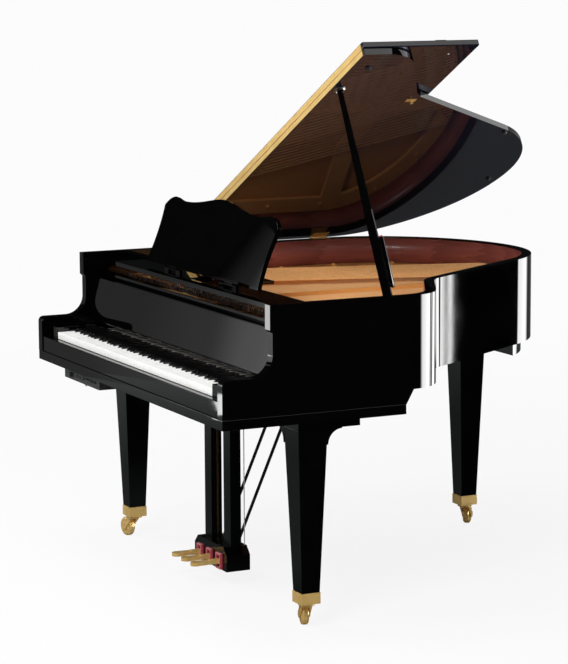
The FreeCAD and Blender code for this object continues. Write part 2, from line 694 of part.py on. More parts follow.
def make_keys():
    sets = {"white_keys_odd": [], "white_keys_even": [], "black_keys_odd": [], "black_keys_even": []}
    for at, (colour, number, _, _, _) in enumerate(KEYS):
        name = "%s_keys_%s" % (colour, "even" if number % 2 else "odd")
        sets[name].append(white_key(at) if colour == "white" else black_key(at))
    for name, solids in sets.items():
        feature(name, Part.Compound(solids))


def hammer(x):
    y0, z0 = S.hammer_pivot_y, S.hammer_pivot_z
    half = S.shank_thick / 2
    head = y0 + S.hammer_reach
    top = S.string_height - S.plain_radius - S.hammer_room
    deep = S.hammer_depth / 2
    cheek = z0 + (top - z0) * (1 - hammer_face_share)
    side = [(y0, z0 - half), (head - deep, z0 - half), (head - deep, z0 - S.hammer_drop)]
    side += [(head + deep, z0 - S.hammer_drop), (head + deep, cheek), (head + S.hammer_tip / 2, top)]
    side += [(head - S.hammer_tip / 2, top), (head - deep, cheek), (head - deep, z0 + half)]
    side += [(y0, z0 + half)]
    wide = S.hammer_width / 2
    solid = profile_x(side, x - wide, x + wide)
    butt = tube_x(x - wide, x + wide, y0, z0, half)
    solid = solid.fuse(butt).removeSplitter()
    solid.rotate(Vector(x, y0, z0), Vector(1, 0, 0), -S.hammer_blow)
    return solid


def make_hammers():
    sets = {}
    for colour, number, note, _, _ in KEYS:
        name = "hammers_%s_%s" % (colour, "even" if number % 2 else "odd")
        sets.setdefault(name, []).append(hammer(note_x(note)))
    for name, solids in sets.items():
        feature(name, Part.Compound(solids))


def make_key_frame():
    low = S.keybed_top + S.fit_gap
    rail_top = key_under - S.rail_room
    half = key_span / 2
    rear0, rear1 = key_rear - S.back_rail_depth, key_rear + S.back_rail_depth / 2
    balance0, balance1 = balance_y - S.balance_rail_depth / 2, balance_y + S.balance_rail_depth / 2
    wide = well_half + S.bracket_room + S.bracket_width
    front1 = S.key_front + S.runner_width / 2
    pieces = [
        brick(-half, half, front1, front1 + S.front_rail_depth, low, low + S.front_rail_height),
        brick(-half, half, balance0, balance1, low, rail_top),
        brick(-wide, wide, rear0, rear1, low, rail_top),
    ]
    for step in runner_shares:
        x0 = step * (half - S.runner_width / 2) - S.runner_width / 2
        pieces.append(brick(x0, x0 + S.runner_width, front1, rear1, low, low + S.runner_height))
    rail1 = S.hammer_pivot_y - S.shank_thick / 2 - S.fit_gap
    rail0 = rail1 - S.hammer_rail_depth
    rail_low = S.hammer_pivot_z - S.hammer_rail_height / 2
    rail_high = S.hammer_pivot_z + S.hammer_rail_height / 2
    pieces.append(brick(-wide, wide, rail0, rail1, rail_low, rail_high))
    for side in (-1, 1):
        x0 = side * (wide - S.bracket_width)
        x1 = side * wide
        side_view = [(rear0, low), (rear1, low), (rear1, rail_top)]
        side_view += [(rail1, rail_high), (rail0, rail_high), (rail0, rail_low)]
        pieces.append(profile_x(side_view, min(x0, x1), max(x0, x1)))
    body = pieces[0].multiFuse(pieces[1:])
    feature("key_frame", body.removeSplitter())


def make_dampers():
    tray_front = S.belly_front - S.fit_gap - S.tray_depth
    tray_under = S.tray_top - S.tray_thick
    tray = brick(-key_span / 2, key_span / 2, tray_front, tray_front + S.tray_depth, tray_under, S.tray_top)
    solids = [tray]
    wire_y = tray_front + S.tray_depth / 2
    for note in range(DAMPED_NOTES):
        bass = note < BASS_NOTES
        x = bass_at(note, wire_y) if bass else note_x(note)
        z = (S.bass_string_height + S.wound_radius) if bass else (S.string_height + S.plain_radius)
        z += S.damper_room
        wire_x = x + S.damper_width / 2
        head = brick(
            wire_x - S.damper_width + S.damper_wire_radius, wire_x + S.damper_wire_radius, S.damper_front,
            S.damper_front + S.damper_depth, z, z + S.damper_height)
        wire = tube(Vector(wire_x, wire_y, S.tray_top), Vector(wire_x, wire_y, z), S.damper_wire_radius)
        solids.append(head)
        solids.append(wire)
    feature("dampers", Part.Compound(solids))


# Plain boards of the case, bound to the sheet
def make_boards():
    keep(box("keybed", "case_width", "keybed_depth", "keybed_thick",
             "-case_width / 2", "0", "keybed_under"), "keybed")
    keep(box("key_slip", "case_width - 2 * rim_thick", "slip_thick", "slip_height",
             "-case_width / 2 + rim_thick", "slip_front", "keybed_under + keybed_thick"), "key_slip")
    width = "(case_width - 2 * rim_thick - %d * key_pitch - key_well) / 2" % WHITE_COUNT
    start = "slip_front + slip_thick"
    seat = "keybed_under + keybed_thick"
    bass = box("key_block_bass", width, "block_depth", "block_height",
               "-case_width / 2 + rim_thick", start, seat)
    treble = box("key_block_treble", width, "block_depth", "block_height",
                 "%d * key_pitch / 2 + key_well / 2" % WHITE_COUNT, start, seat)
    keep(group("key_blocks", [bass, treble]), "key_blocks")
    keep(box("stretcher", "case_width - 2 * rim_thick", "stretcher_thick", "stretcher_top - stretcher_under",
             "-case_width / 2 + rim_thick", "stretcher_front", "stretcher_under"), "stretcher")
    keep(box("pin_block", "case_width - 2 * rim_thick", "block_rear - stretcher_front - stretcher_thick",
             "pin_block_thick", "-case_width / 2 + rim_thick", "stretcher_front + stretcher_thick",
             "block_top - pin_block_thick"), "pin_block")
    rail_z = "shelf_top - shelf_thick - fit_gap - desk_rail_height"
    rail_y = "stretcher_front + stretcher_thick"
    left = box("desk_rail_bass", "desk_rail_width", "desk_rail_length", "desk_rail_height",
               "-case_width / 2 + rim_thick", rail_y, rail_z)
    right = box("desk_rail_treble", "desk_rail_width", "desk_rail_length", "desk_rail_height",
                "case_width / 2 - rim_thick - desk_rail_width", rail_y, rail_z)
    keep(group("desk_rails", [left, right]), "desk_rails")


# Fallboard, turned back on its two end pins
def make_fallboard():
    y0, z0 = S.fall_pivot_y, S.fall_pivot_z
    half = S.fall_thick / 2
    end = rim_inner - S.fall_end_gap
    panel = brick(-end, end, y0 - half, y0 + half, z0, z0 + S.fall_height)
    foot = tube_x(-end, end, y0, z0, half)
    reach = rim_inner + S.fall_pin_reach - S.fit_gap
    pin = tube_x(-reach, reach, y0, z0, S.fall_pin_radius)
    body = panel.fuse(foot).fuse(pin)
    body.rotate(Vector(0, y0, z0), Vector(1, 0, 0), -S.fall_lean)
    feature("fallboard", body.removeSplitter())


# Music desk: shelf on rails, leaning panel on two hinges, folding stay
def make_music_desk():
    end = rim_inner - S.shelf_end_gap
    low = S.shelf_top - S.shelf_thick
    rear = S.shelf_front + S.shelf_depth
    shelf = brick(-end, end, S.shelf_front, rear, low, S.shelf_top)
    tongue_half = S.tongue_width / 2
    tongue_top = S.shelf_top - S.tongue_drop
    tongue_low = tongue_top - S.tongue_thick
    y0, z0 = S.desk_pivot_y, S.desk_pivot_z
    recess_y = y0 - S.recess_front
    ceiling = S.shelf_top + S.overrun
    recess = brick(-tongue_half, tongue_half, recess_y, rear + S.overrun, tongue_top, ceiling)
    tongue = brick(-tongue_half, tongue_half, recess_y, rear + S.tongue_depth, tongue_low, tongue_top)
    shelf = shelf.cut(recess).fuse(tongue)
    hinge_at = S.desk_bottom_width / 4
    knuckle0, knuckle1 = y0 - S.desk_knuckle_radius, y0 + S.desk_knuckle_radius
    for side in (-1, 1):
        middle = side * hinge_at
        for step in (-1, 1):
            x = middle + step * (S.desk_knuckle_width + S.desk_tab_width) / 2
            half = S.desk_tab_width / 2 - S.fit_gap
            ear = brick(x - half, x + half, knuckle0, knuckle1, S.shelf_top, z0)
            cap = tube_x(x - half, x + half, y0, z0, S.desk_knuckle_radius)
            shelf = shelf.fuse(ear).fuse(cap)
        span = S.desk_knuckle_width / 2 + S.desk_tab_width / 2
        pin = tube_x(middle - span, middle + span, y0, z0, S.desk_pin_radius)
        shelf = shelf.fuse(pin)
    feature("music_shelf", shelf.removeSplitter())

    half_thick = S.desk_thick / 2
    lower = z0 + S.desk_foot
    left = [
        (S.desk_bottom_width / 2, lower), (S.desk_waist_width / 2, z0 + S.desk_shoulder / 2),
        (S.desk_shoulder_width / 2, z0 + S.desk_shoulder), (S.desk_corner_width / 2, z0 + S.desk_corner),
        (S.desk_corner_width / 3, z0 + S.desk_dip),
        (S.desk_corner_width / 6, z0 + (S.desk_dip + S.desk_height) / 2), (0, z0 + S.desk_height),
    ]
    right_points = [Vector(x, y0 - half_thick, z) for x, z in left]
    left_points = [Vector(-x, y0 - half_thick, z) for x, z in left]
    side_arc = Part.Arc(right_points[0], right_points[1], right_points[2]).toShape()
    crown = Part.BSplineCurve()
    crown.interpolate(right_points[3:] + list(reversed(left_points[3:-1])))
    shoulder_mid = (right_points[2] + right_points[3]) / 2
    bulge = Vector(S.desk_thick / 2, 0, S.desk_thick / 2)
    other_mid = (left_points[2] + left_points[3]) / 2
    edges = [
        side_arc,
        Part.Arc(right_points[2], shoulder_mid + bulge, right_points[3]).toShape(),
        crown.toShape(),
        Part.Arc(left_points[3], other_mid + Vector(-bulge.x, 0, bulge.z), left_points[2]).toShape(),
        Part.Arc(left_points[2], left_points[1], left_points[0]).toShape(),
        Part.makeLine(left_points[0], right_points[0]),
    ]
    panel = Part.Face(Part.Wire(edges)).extrude(Vector(0, S.desk_thick, 0))
    ledge_half = S.ledge_width / 2
    ledge = brick(-ledge_half, ledge_half, y0 - half_thick - S.ledge_depth, y0, lower, lower + S.ledge_thick)
    panel = panel.fuse(ledge)
    for side in (-1, 1):
        middle = side * hinge_at
        half = S.desk_knuckle_width / 2 - S.fit_gap
        arm = brick(middle - half, middle + half, knuckle0, knuckle1, z0, lower + S.ledge_thick)
        barrel = tube_x(middle - half, middle + half, y0, z0, S.desk_knuckle_radius)
        span = S.desk_knuckle_width
        bore = tube_x(middle - span, middle + span, y0, z0, S.desk_pin_radius + S.fit_gap)
        panel = panel.fuse(arm).fuse(barrel).cut(bore)
    stay_y, stay_z = y0 + S.stay_off, z0 + S.stay_up
    ear_reach = S.stay_width / 2 + S.stay_ear
    for side in (-1, 1):
        x0 = side * (S.stay_width / 2 + S.fit_gap)
        x1 = side * ear_reach
        half = S.stay_thick / 2
        ear = brick(min(x0, x1), max(x0, x1), y0, stay_y + half, stay_z - half, stay_z + half)
        panel = panel.fuse(ear)
    stay_pin = tube_x(-ear_reach, ear_reach, stay_y, stay_z, S.desk_pin_radius)
    panel = panel.fuse(stay_pin)
    panel.rotate(Vector(0, y0, z0), Vector(1, 0, 0), -S.desk_lean)
    feature("music_desk", panel.removeSplitter())

    half = S.stay_thick / 2
    wide = S.stay_width / 2
    stay = brick(-wide, wide, stay_y - half, stay_y + half, stay_z - S.stay_length, stay_z)
    stay = stay.fuse(tube_x(-wide, wide, stay_y, stay_z, half))
    bore = tube_x(-ear_reach, ear_reach, stay_y, stay_z, S.desk_pin_radius + S.fit_gap)
    stay = stay.cut(bore)
    stay.rotate(Vector(0, stay_y, stay_z), Vector(1, 0, 0), S.desk_lean + S.stay_turn)
    stay.rotate(Vector(0, y0, z0), Vector(1, 0, 0), -S.desk_lean)
    feature("desk_stay", stay.removeSplitter())


# Lid: main panel and flap on a continuous hinge, on two butt hinges at the spine
def opened(shape):
    shape.Placement = lid_turn.multiply(shape.Placement)
    return shape


def lid_room():
    low, high = lid_under - S.overrun, fold_z + S.lid_thick + S.overrun
    left = -half_width - S.lid_spine_over
    return brick(left, lid_right + S.overrun, 0, S.case_length + 2 * S.lid_over, low, high)


def segment(along, number, total, start):
    return start + along * number / total, start + along * (number + 1) / total


def butt_hinge_spans():
    half = S.hinge_length / 2
    spine_end = RIM_ARCS[-1][0].y
    middles = (S.lid_front + S.hinge_after_flap, spine_end - S.hinge_before_bend)
    return [(middle - half, middle + half) for middle in middles]


def make_lid():
    front = S.lid_front + S.leaf_thick
    main = rim_prism(-S.lid_over, front, lid_under, lid_top).common(lid_room())
    for y0, y1 in butt_hinge_spans():
        clear = S.hinge_barrel_radius + S.fit_gap
        main = main.cut(tube_y(hinge_x, y0 - S.fit_gap, y1 + S.fit_gap, hinge_z, clear))
    feature("lid_main", opened(main.removeSplitter()))

    flap_low = lid_top + S.fold_gap
    flap = brick(-half_width, lid_right, front, S.lid_front + S.flap_depth, flap_low, flap_low + S.lid_thick)
    feature("lid_flap", opened(flap))

    right = lid_right - S.leaf_short
    span = right + half_width
    knuckle_z = fold_z
    rear = brick(-half_width, right, S.lid_front, front, lid_under + S.leaf_edge, lid_top)
    top = brick(-half_width, right, S.lid_front, front, flap_low, flap_low + S.lid_thick - S.leaf_edge)
    bore = tube_x(-half_width, right, S.lid_front, knuckle_z, S.knuckle_pin_radius + S.knuckle_gap)
    pin = tube_x(-half_width, right, S.lid_front, knuckle_z, S.knuckle_pin_radius)
    reach = S.knuckle_radius
    for number in range(HINGE_SEGMENTS):
        x0, x1 = segment(span, number, HINGE_SEGMENTS, -half_width)
        x1 -= S.knuckle_gap
        barrel = tube_x(x0, x1, S.lid_front, knuckle_z, reach)
        if number % 2 == 0:
            arm = brick(x0, x1, S.lid_front, S.lid_front + S.leaf_thick, lid_top - reach, knuckle_z)
            rear = rear.fuse([barrel, arm])
        else:
            arm = brick(x0, x1, S.lid_front, S.lid_front + S.leaf_thick, knuckle_z, flap_low + reach)
            top = top.fuse([barrel, arm])
    rear = rear.cut(bore).fuse(pin)
    first = brick(-half_width, -half_width + span / HINGE_SEGMENTS - S.knuckle_gap, S.lid_front,
                  S.lid_front + S.knuckle_pin_radius, lid_top, knuckle_z)
    rear = rear.fuse(first)
    top = top.cut(bore)
    feature("flap_hinge_rear_leaf", opened(rear.removeSplitter()))
    feature("flap_hinge_front_leaf", opened(top.removeSplitter()))


def make_lid_hinges():
    fixed, moving = [], []
    thick = S.hinge_leaf_thick
    for y0, y1 in butt_hinge_spans():
        seat = brick(hinge_x, -half_width + S.rim_thick, y0, y1, S.rim_top, S.rim_top + thick)
        swing = brick(hinge_x, -half_width + S.hinge_leaf, y0, y1, lid_under - thick, lid_under)
        bore = tube_y(hinge_x, y0 - S.overrun, y1 + S.overrun, hinge_z, S.hinge_pin_radius + S.fit_gap)
        pin = tube_y(hinge_x, y0, y1, hinge_z, S.hinge_pin_radius)
        clear = S.hinge_barrel_radius + S.fit_gap
        for number in range(BUTT_SEGMENTS):
            s0, s1 = segment(S.hinge_length, number, BUTT_SEGMENTS, y0)
            room = tube_y(hinge_x, s0, s1, hinge_z, clear)
            barrel = tube_y(hinge_x, s0, s1 - S.fit_gap, hinge_z, S.hinge_barrel_radius)
            if number % 2 == 0:
                swing = swing.cut(room)
                seat = seat.fuse(barrel)
            else:
                seat = seat.cut(room)
                swing = swing.fuse(barrel)
        seat = seat.cut(bore).fuse(pin)
        link_end = y0 + S.hinge_length / BUTT_SEGMENTS - S.fit_gap
        link_top = hinge_z + (S.hinge_barrel_radius + S.hinge_pin_radius) / 2
        link = brick(hinge_x, hinge_x + S.hinge_pin_radius, y0, link_end, hinge_z, link_top)
        seat = seat.fuse(link)
        fixed.append(seat.removeSplitter())
        moving.append(swing.cut(bore).removeSplitter())
    feature("lid_hinges", Part.Compound(fixed))
    feature("lid_hinge_leaves", opened(Part.Compound(moving)))


# Lid props: the long one stands square to the lid, the short one lies along it
def prop_frame():
    angle = math.radians(S.lid_open)
    stand = Vector(-math.sin(angle), 0, math.cos(angle))
    lie = math.radians(S.prop_lie)
    lying = Vector(math.cos(lie), math.sin(lie), 0)
    axis = stand.cross(lying).normalize()
    across = axis.cross(stand).normalize()
    return stand, lying, axis, across


def prop_placement():
    stand, _, axis, across = prop_frame()
    foot = Vector(S.prop_x, S.prop_y, S.prop_z)
    turn = FreeCAD.Matrix(
        across.x, axis.x, stand.x, foot.x,
        across.y, axis.y, stand.y, foot.y,
        across.z, axis.z, stand.z, foot.z,
        0, 0, 0, 1)
    return Placement(turn)


def prop_length():
    stand, _, _, _ = prop_frame()
    hinge = Vector(hinge_x, 0, hinge_z)
    foot = Vector(S.prop_x, 0, S.prop_z)
    return stand.dot(hinge - foot) + lid_under - hinge_z - S.prop_tip_gap


def make_lid_props():
    at = prop_placement()
    length = prop_length()
    half_thick = S.prop_thick / 2
    foot, tip = S.prop_foot_width / 2, S.prop_tip_width / 2
    short_top = S.short_start + S.short_length
    wide = S.short_width / 2
    mid_y = -foot - S.short_gap - wide
    inner = -half_thick + S.prop_thick / 3
    plan = [(-foot, 0), (foot, 0), (foot, short_top), (tip, length), (-tip, length), (-foot, short_top)]
    stick = profile_x(plan, -half_thick, half_thick)
    barrel = tube_y(0, -foot, foot, 0, S.prop_barrel_radius)
    bore = tube_y(0, -foot - S.overrun, foot + S.overrun, 0, S.prop_pin_radius + S.prop_pin_gap)
    pin = tube_x(-half_thick, half_thick, mid_y, S.short_start, S.short_pin_radius)
    seat_low, seat_high = S.short_start - S.short_pin_radius, S.short_start + S.short_pin_radius
    pin_seat = brick(-half_thick, inner, mid_y, -foot, seat_low, seat_high)
    stick = stick.fuse([barrel, pin, pin_seat]).cut(bore)
    stick.Placement = at
    feature("lid_prop", stick.removeSplitter())

    inner += S.fit_gap
    short = brick(inner, half_thick, mid_y - wide, mid_y + wide, S.short_start, short_top)
    heel = tube_x(inner, half_thick, mid_y, S.short_start, wide)
    far = half_thick + S.overrun
    hole = tube_x(inner - S.overrun, far, mid_y, S.short_start, S.short_pin_radius + S.fit_gap)
    short = short.fuse(heel).cut(hole)
    short.Placement = at
    feature("lid_prop_short", short.removeSplitter())

    _, _, axis, _ = prop_frame()
    middle = Vector(S.prop_x, S.prop_y, S.prop_z)
    face_x = rim_inner - S.prop_plate_thick
    reach = (face_x + S.prop_plate_thick / 2 - S.prop_x) / abs(axis.x)
    start = middle - axis * reach
    pin = tube(start, middle + axis * (foot + S.prop_pin_gap + S.prop_cap), S.prop_pin_radius)
    cap_start = middle + axis * (foot + S.prop_pin_gap)
    cap = tube(cap_start, cap_start + axis * S.prop_cap, S.prop_barrel_radius)
    size = S.prop_plate_size / 2
    near, far = start.y - size, start.y + size
    plate_high = S.rim_top - S.prop_cap
    plate = brick(face_x, rim_inner, near, far, plate_high - 2 * size, plate_high)
    pin = pin.cut(brick(rim_inner, rim_inner + size, near, far, S.rim_under, S.rim_top + size))
    feature("lid_prop_bracket", plate.fuse([pin, cap]).removeSplitter())


# Legs, ferrules and casters
def leg_places():
    return ((-S.leg_out, S.leg_y), (S.leg_out, S.leg_y), (S.rear_leg_x, S.rear_leg_y))


def make_legs():
    legs = []
    for name, x, y, seat in (
        ("leg_bass", "-leg_out", "leg_y", "keybed_under - corbel_thick"),
        ("leg_treble", "leg_out", "leg_y", "keybed_under - corbel_thick"),
        ("leg_rear", "rear_leg_x", "rear_leg_y", "rim_under - corbel_thick - beam_across"),
    ):
        leg = doc.addObject("Part::Wedge", name)
        bind(leg, Xmin="-leg_foot_size / 2", Xmax="leg_foot_size / 2", Zmin="-leg_foot_size / 2",
             Zmax="leg_foot_size / 2", X2min="-leg_top_size / 2", X2max="leg_top_size / 2",
             Z2min="-leg_top_size / 2", Z2max="leg_top_size / 2", Ymin="0", Ymax=seat + " - ferrule_top")
        leg.Placement = Placement(Vector(), Rotation(Vector(1, 0, 0), 90))
        place(leg, x, y, "ferrule_top")
        legs.append(leg)
    keep(group("legs", legs), "legs")
    caps = []
    wide = "(leg_foot_size + 2 * ferrule_lip)"
    back = " - leg_foot_size / 2 - ferrule_lip"
    for name, x, y in (
        ("bass", "-leg_out", "leg_y"), ("treble", "leg_out", "leg_y"), ("rear", "rear_leg_x", "rear_leg_y"),
    ):
        caps.append(box("ferrule_" + name, wide, wide, "ferrule_top - ferrule_under",
                        x + back, y + back, "ferrule_under"))
    keep(group("leg_ferrules", caps), "leg_ferrules")


def make_corbels():
    solids = []
    half = S.leg_top_size / 2
    top = S.keybed_under
    low = top - S.corbel_thick
    for side in (-1, 1):
        x, y = side * S.leg_out, S.leg_y
        inner = x - side * (half + S.corbel_side)
        outer = x + side * half
        cap = brick(min(inner, outer), max(inner, outer), y - half, y + half + S.corbel_back, low, top)
        radius = S.corbel_side - S.corbel_thick / 2 - S.corbel_lip
        gusset = quarter_cove(x - side * half, -side, low, radius, y - half, y + half, "x")
        narrow = half - S.corbel_lip
        rear = quarter_cove(y + half, 1, low, radius, x - narrow, x + narrow, "y")
        solids.append(cap.fuse([gusset, rear]).removeSplitter())
    beam_top = S.rim_under
    beam_low = beam_top - S.beam_across
    x, y = S.rear_leg_x, S.rear_leg_y
    wide = S.rear_block / 2
    cap = brick(x - wide, x + wide, y - wide, y + half, beam_low - S.corbel_thick, beam_low)
    solids.append(cap)
    floor = rim_prism(S.rim_thick, 0, beam_low, beam_top)
    across = brick(-half_width, half_width, y - half, y + half, beam_low, beam_top).common(floor)
    solids.append(across)
    feature("leg_corbels", Part.Compound(solids))


def quarter_cove(start, way, top, radius, low_side, high_side, along):
    bend = radius * (1 - math.sqrt(0.5))
    lip = S.corbel_lip
    far = start + way * (radius + lip)
    low = top - radius - lip
    points = [
        (start, top + lip), (far, top + lip), (far, top - lip),
        (start + way * (bend + lip), top - bend - lip), (start + way * lip, low), (start, low),
    ]
    if along == "x":
        spots = [Vector(a, low_side, z) for a, z in points]
        run = Vector(0, high_side - low_side, 0)
    else:
        spots = [Vector(low_side, a, z) for a, z in points]
        run = Vector(high_side - low_side, 0, 0)
    edges = [Part.makeLine(spots[0], spots[1]), Part.makeLine(spots[1], spots[2])]
    edges.append(Part.Arc(spots[2], spots[3], spots[4]).toShape())
    edges += [Part.makeLine(spots[4], spots[5]), Part.makeLine(spots[5], spots[0])]
    return Part.Face(Part.Wire(edges)).extrude(run)


def make_casters():
    turns = (S.caster_turn_bass, S.caster_turn_treble, S.caster_turn_rear)
    for name, (x, y), turn in zip(("bass", "treble", "rear"), leg_places(), turns):
        at = Placement(Vector(x, y, 0), Rotation(Vector(0, 0, 1), turn))
        top = S.ferrule_under - S.fork_room
        plate_low = top - S.fork_plate_thick
        plate = Part.makeCylinder(S.fork_plate_radius, S.fork_plate_thick, Vector(0, 0, plate_low))
        inner = S.wheel_width / 2 + S.wheel_hub_gap
        outer = inner + S.cheek_thick
        neck = S.fork_plate_radius * fork_neck_share
        pieces = []
        for side in (-1, 1):
            y0, y1 = sorted((side * inner, side * outer))
            arm = [(-neck, top), (neck, top), (S.caster_trail + S.cheek_round, S.wheel_radius)]
            arm += [(S.caster_trail - S.cheek_round, S.wheel_radius)]
            pieces.append(profile_y(arm, y0, y1))
            pieces.append(tube_y(S.caster_trail, y0, y1, S.wheel_radius, S.cheek_round))
        axle = tube_y(S.caster_trail, -outer, outer, S.wheel_radius, S.axle_radius)
        bridge = brick(-neck, neck, -outer, outer, plate_low, top)
        fork = plate.fuse(pieces + [axle, bridge]).removeSplitter()
        fork.Placement = at
        feature("caster_fork_" + name, fork)
        half = S.wheel_width / 2
        wheel = tube_y(S.caster_trail, -half, half, S.wheel_radius, S.wheel_radius)
        rims = [e for e in wheel.Edges if e.Closed]
        wheel = wheel.makeFillet(S.wheel_round, rims)
        bore = tube_y(S.caster_trail, -outer, outer, S.wheel_radius, S.axle_radius + S.axle_gap)
        wheel = wheel.cut(bore)
        wheel.Placement = at
        feature("caster_wheel_" + name, wheel)


# Pedal lyre
def make_lyre():
    posts = []
    for name, x in (("post_bass", "-post_inner - post_width"), ("post_treble", "post_inner")):
        tall = "keybed_under - lyre_top"
        posts.append(box(name, "post_width", "post_depth", tall, x, "post_front", "lyre_top"))
    keep(group("lyre_posts", posts), "lyre_posts")

    half = S.lyre_width / 2
    shoulder = S.lyre_top - S.lyre_shoulder
    crown = half - S.lyre_shoulder
    view = [(-half, S.lyre_under), (half, S.lyre_under), (half, shoulder)]
    view += [(crown, S.lyre_top), (-crown, S.lyre_top), (-half, shoulder)]
    rear = S.lyre_front + S.lyre_depth
    body = profile_y(view, S.lyre_front, rear)
    slot_half = S.pedal_bar_width / 2 + S.pedal_slot_gap
    pins, pedals, rods, bushes = [], {}, {}, []
    for name, step in (("soft", -1), ("sostenuto", 0), ("sustain", 1)):
        x = step * S.pedal_step
        slot0, slot1 = x - slot_half, x + slot_half
        slot_rear = S.pedal_rear_y + S.pedal_slot_gap
        slot = brick(slot0, slot1, S.lyre_front - S.overrun, slot_rear, S.pedal_slot_low, S.pedal_slot_high)
        body = body.cut(slot)
        rod_foot = Vector(x, S.rod_y, S.pedal_slot_low)
        rod_exit = Vector(x, S.rod_y, S.lyre_top + S.overrun)
        body = body.cut(tube(rod_foot, rod_exit, S.rod_radius + S.rod_gap))
        pins.append(tube_x(slot0, slot1, S.pedal_pivot_y, S.pedal_z, S.pedal_pin_radius))
        pedals[name] = make_pedal(x)
        low = S.pedal_z + S.pedal_bar_thick / 2 + S.fit_gap
        rods[name] = tube(Vector(x, S.rod_y, low), Vector(x, S.rod_y, S.rod_top), S.rod_radius)
        bush_front = S.lyre_front - S.bush_depth
        frame = brick(slot0 - S.bush_wall, slot1 + S.bush_wall, bush_front, S.lyre_front,
                      S.pedal_slot_low - S.bush_wall, S.pedal_slot_high + S.bush_wall)
        hole = brick(slot0, slot1, bush_front - S.overrun, S.lyre_front + S.overrun,
                     S.pedal_slot_low, S.pedal_slot_high)
        bushes.append(frame.cut(hole))
    body = body.fuse(pins)
    feature("lyre_box", body.removeSplitter())
    feature("pedal_bushings", Part.Compound(bushes))
    for name, shape in pedals.items():
        feature("pedal_" + name, shape)
        feature("pedal_rod_" + name, rods[name])

    braces = []
    slab = brick(-half, half, S.lyre_front, S.keybed_depth, S.lyre_top, S.keybed_under)
    for side in (-1, 1):
        low = Vector(side * S.brace_x, S.brace_low_y, S.lyre_top)
        high = Vector(side * S.brace_x, S.brace_high_y, S.keybed_under)
        run = (high - low).normalize() * (2 * S.brace_radius)
        braces.append(tube(low - run, high + run, S.brace_radius).common(slab))
    feature("lyre_braces", Part.Compound([s for b in braces for s in b.Solids]))
    cable = rod("pedal_cable", "cable_radius", "keybed_under - lyre_top",
                "cable_x - cable_radius", "cable_y", "lyre_top")
    keep(cable, "pedal_cable")


def make_pedal(x):
    half = S.pedal_bar_width / 2
    thick = S.pedal_bar_thick / 2
    bar_front = S.pedal_toe_y + S.pedal_toe_length
    bar = brick(x - half, x + half, bar_front, S.pedal_rear_y, S.pedal_z - thick, S.pedal_z + thick)
    wide = S.pedal_toe_width / 2
    tip_y = S.pedal_toe_y
    low = S.pedal_z - S.pedal_toe_thick / 2
    toe_end = bar_front + S.pedal_toe_length / 3
    left_start = Vector(x - half, toe_end, low)
    left_wide = Vector(x - wide, tip_y + wide, low)
    right_wide = Vector(x + wide, tip_y + wide, low)
    right_start = Vector(x + half, toe_end, low)
    nose = Part.Arc(left_wide, Vector(x, tip_y, low), right_wide).toShape()
    edges = [Part.makeLine(left_start, left_wide), nose]
    edges += [Part.makeLine(right_wide, right_start), Part.makeLine(right_start, left_start)]
    toe = Part.Face(Part.Wire(edges)).extrude(Vector(0, 0, S.pedal_toe_thick))
    body = bar.fuse(toe)
    bore = tube_x(x - wide, x + wide, S.pedal_pivot_y, S.pedal_z, S.pedal_pin_radius + S.fit_gap)
    return body.cut(bore).removeSplitter()


# Control unit under the keybed, with its knob and two headphone sockets
def make_control_unit():
    top = S.keybed_under
    low = top - S.unit_height
    x0, x1 = S.unit_left, S.unit_left + S.unit_width
    y0, y1 = S.unit_front, S.unit_front + S.unit_depth
    body = brick(x0, x1, y0, y1, low, top)
    mid = (low + top) / 2
    for number in range(2):
        x = x0 + S.jack_from_left + number * S.jack_step
        collar = tube_y(x, y0 - S.jack_radius / 2, y0, mid, S.jack_collar)
        bore = tube_y(x, y0 - S.overrun, y0 + S.jack_deep, mid, S.jack_radius)
        body = body.fuse(collar).cut(bore)
    knob_x = x0 + S.knob_from_left
    shaft_room = S.knob_shaft_radius + S.fit_gap
    body = body.cut(tube_y(knob_x, y0 - S.overrun, y0 + S.knob_reach, mid, shaft_room))
    inlet_x = x0 + S.unit_width / 2
    inlet = brick(inlet_x - S.inlet_width / 2, inlet_x + S.inlet_width / 2, y1 - S.inlet_deep, y1 + S.overrun,
                  mid - S.inlet_height / 2, mid + S.inlet_height / 2)
    body = body.cut(inlet)
    feature("control_unit", body.removeSplitter())
    knob_back = y0 - S.fit_gap
    knob = tube_y(knob_x, y0 - S.knob_reach, knob_back, mid, S.knob_radius)
    shaft = tube_y(knob_x, knob_back, knob_back + S.knob_reach, mid, S.knob_shaft_radius)
    mark_half = S.knob_shaft_radius / 3
    mark_deep = y0 - S.knob_reach + S.knob_shaft_radius / 2
    mark = brick(knob_x - mark_half, knob_x + mark_half, y0 - S.knob_reach - S.overrun, mark_deep,
                 mid, mid + S.knob_radius + S.overrun)
    feature("control_knob", knob.fuse(shaft).cut(mark).removeSplitter())


def build():
    make_outer_rim()
    make_inner_rim()
    make_boards()
    make_back_beams()
    make_soundboard()
    make_bridges()
    make_iron_plate()
    make_strings()
    make_keys()
    make_key_frame()
    make_hammers()
    make_dampers()
    make_fallboard()
    make_music_desk()
    make_lid()
    make_lid_hinges()
    make_lid_props()
    make_legs()
    make_corbels()
    make_casters()
    make_lyre()
    make_control_unit()


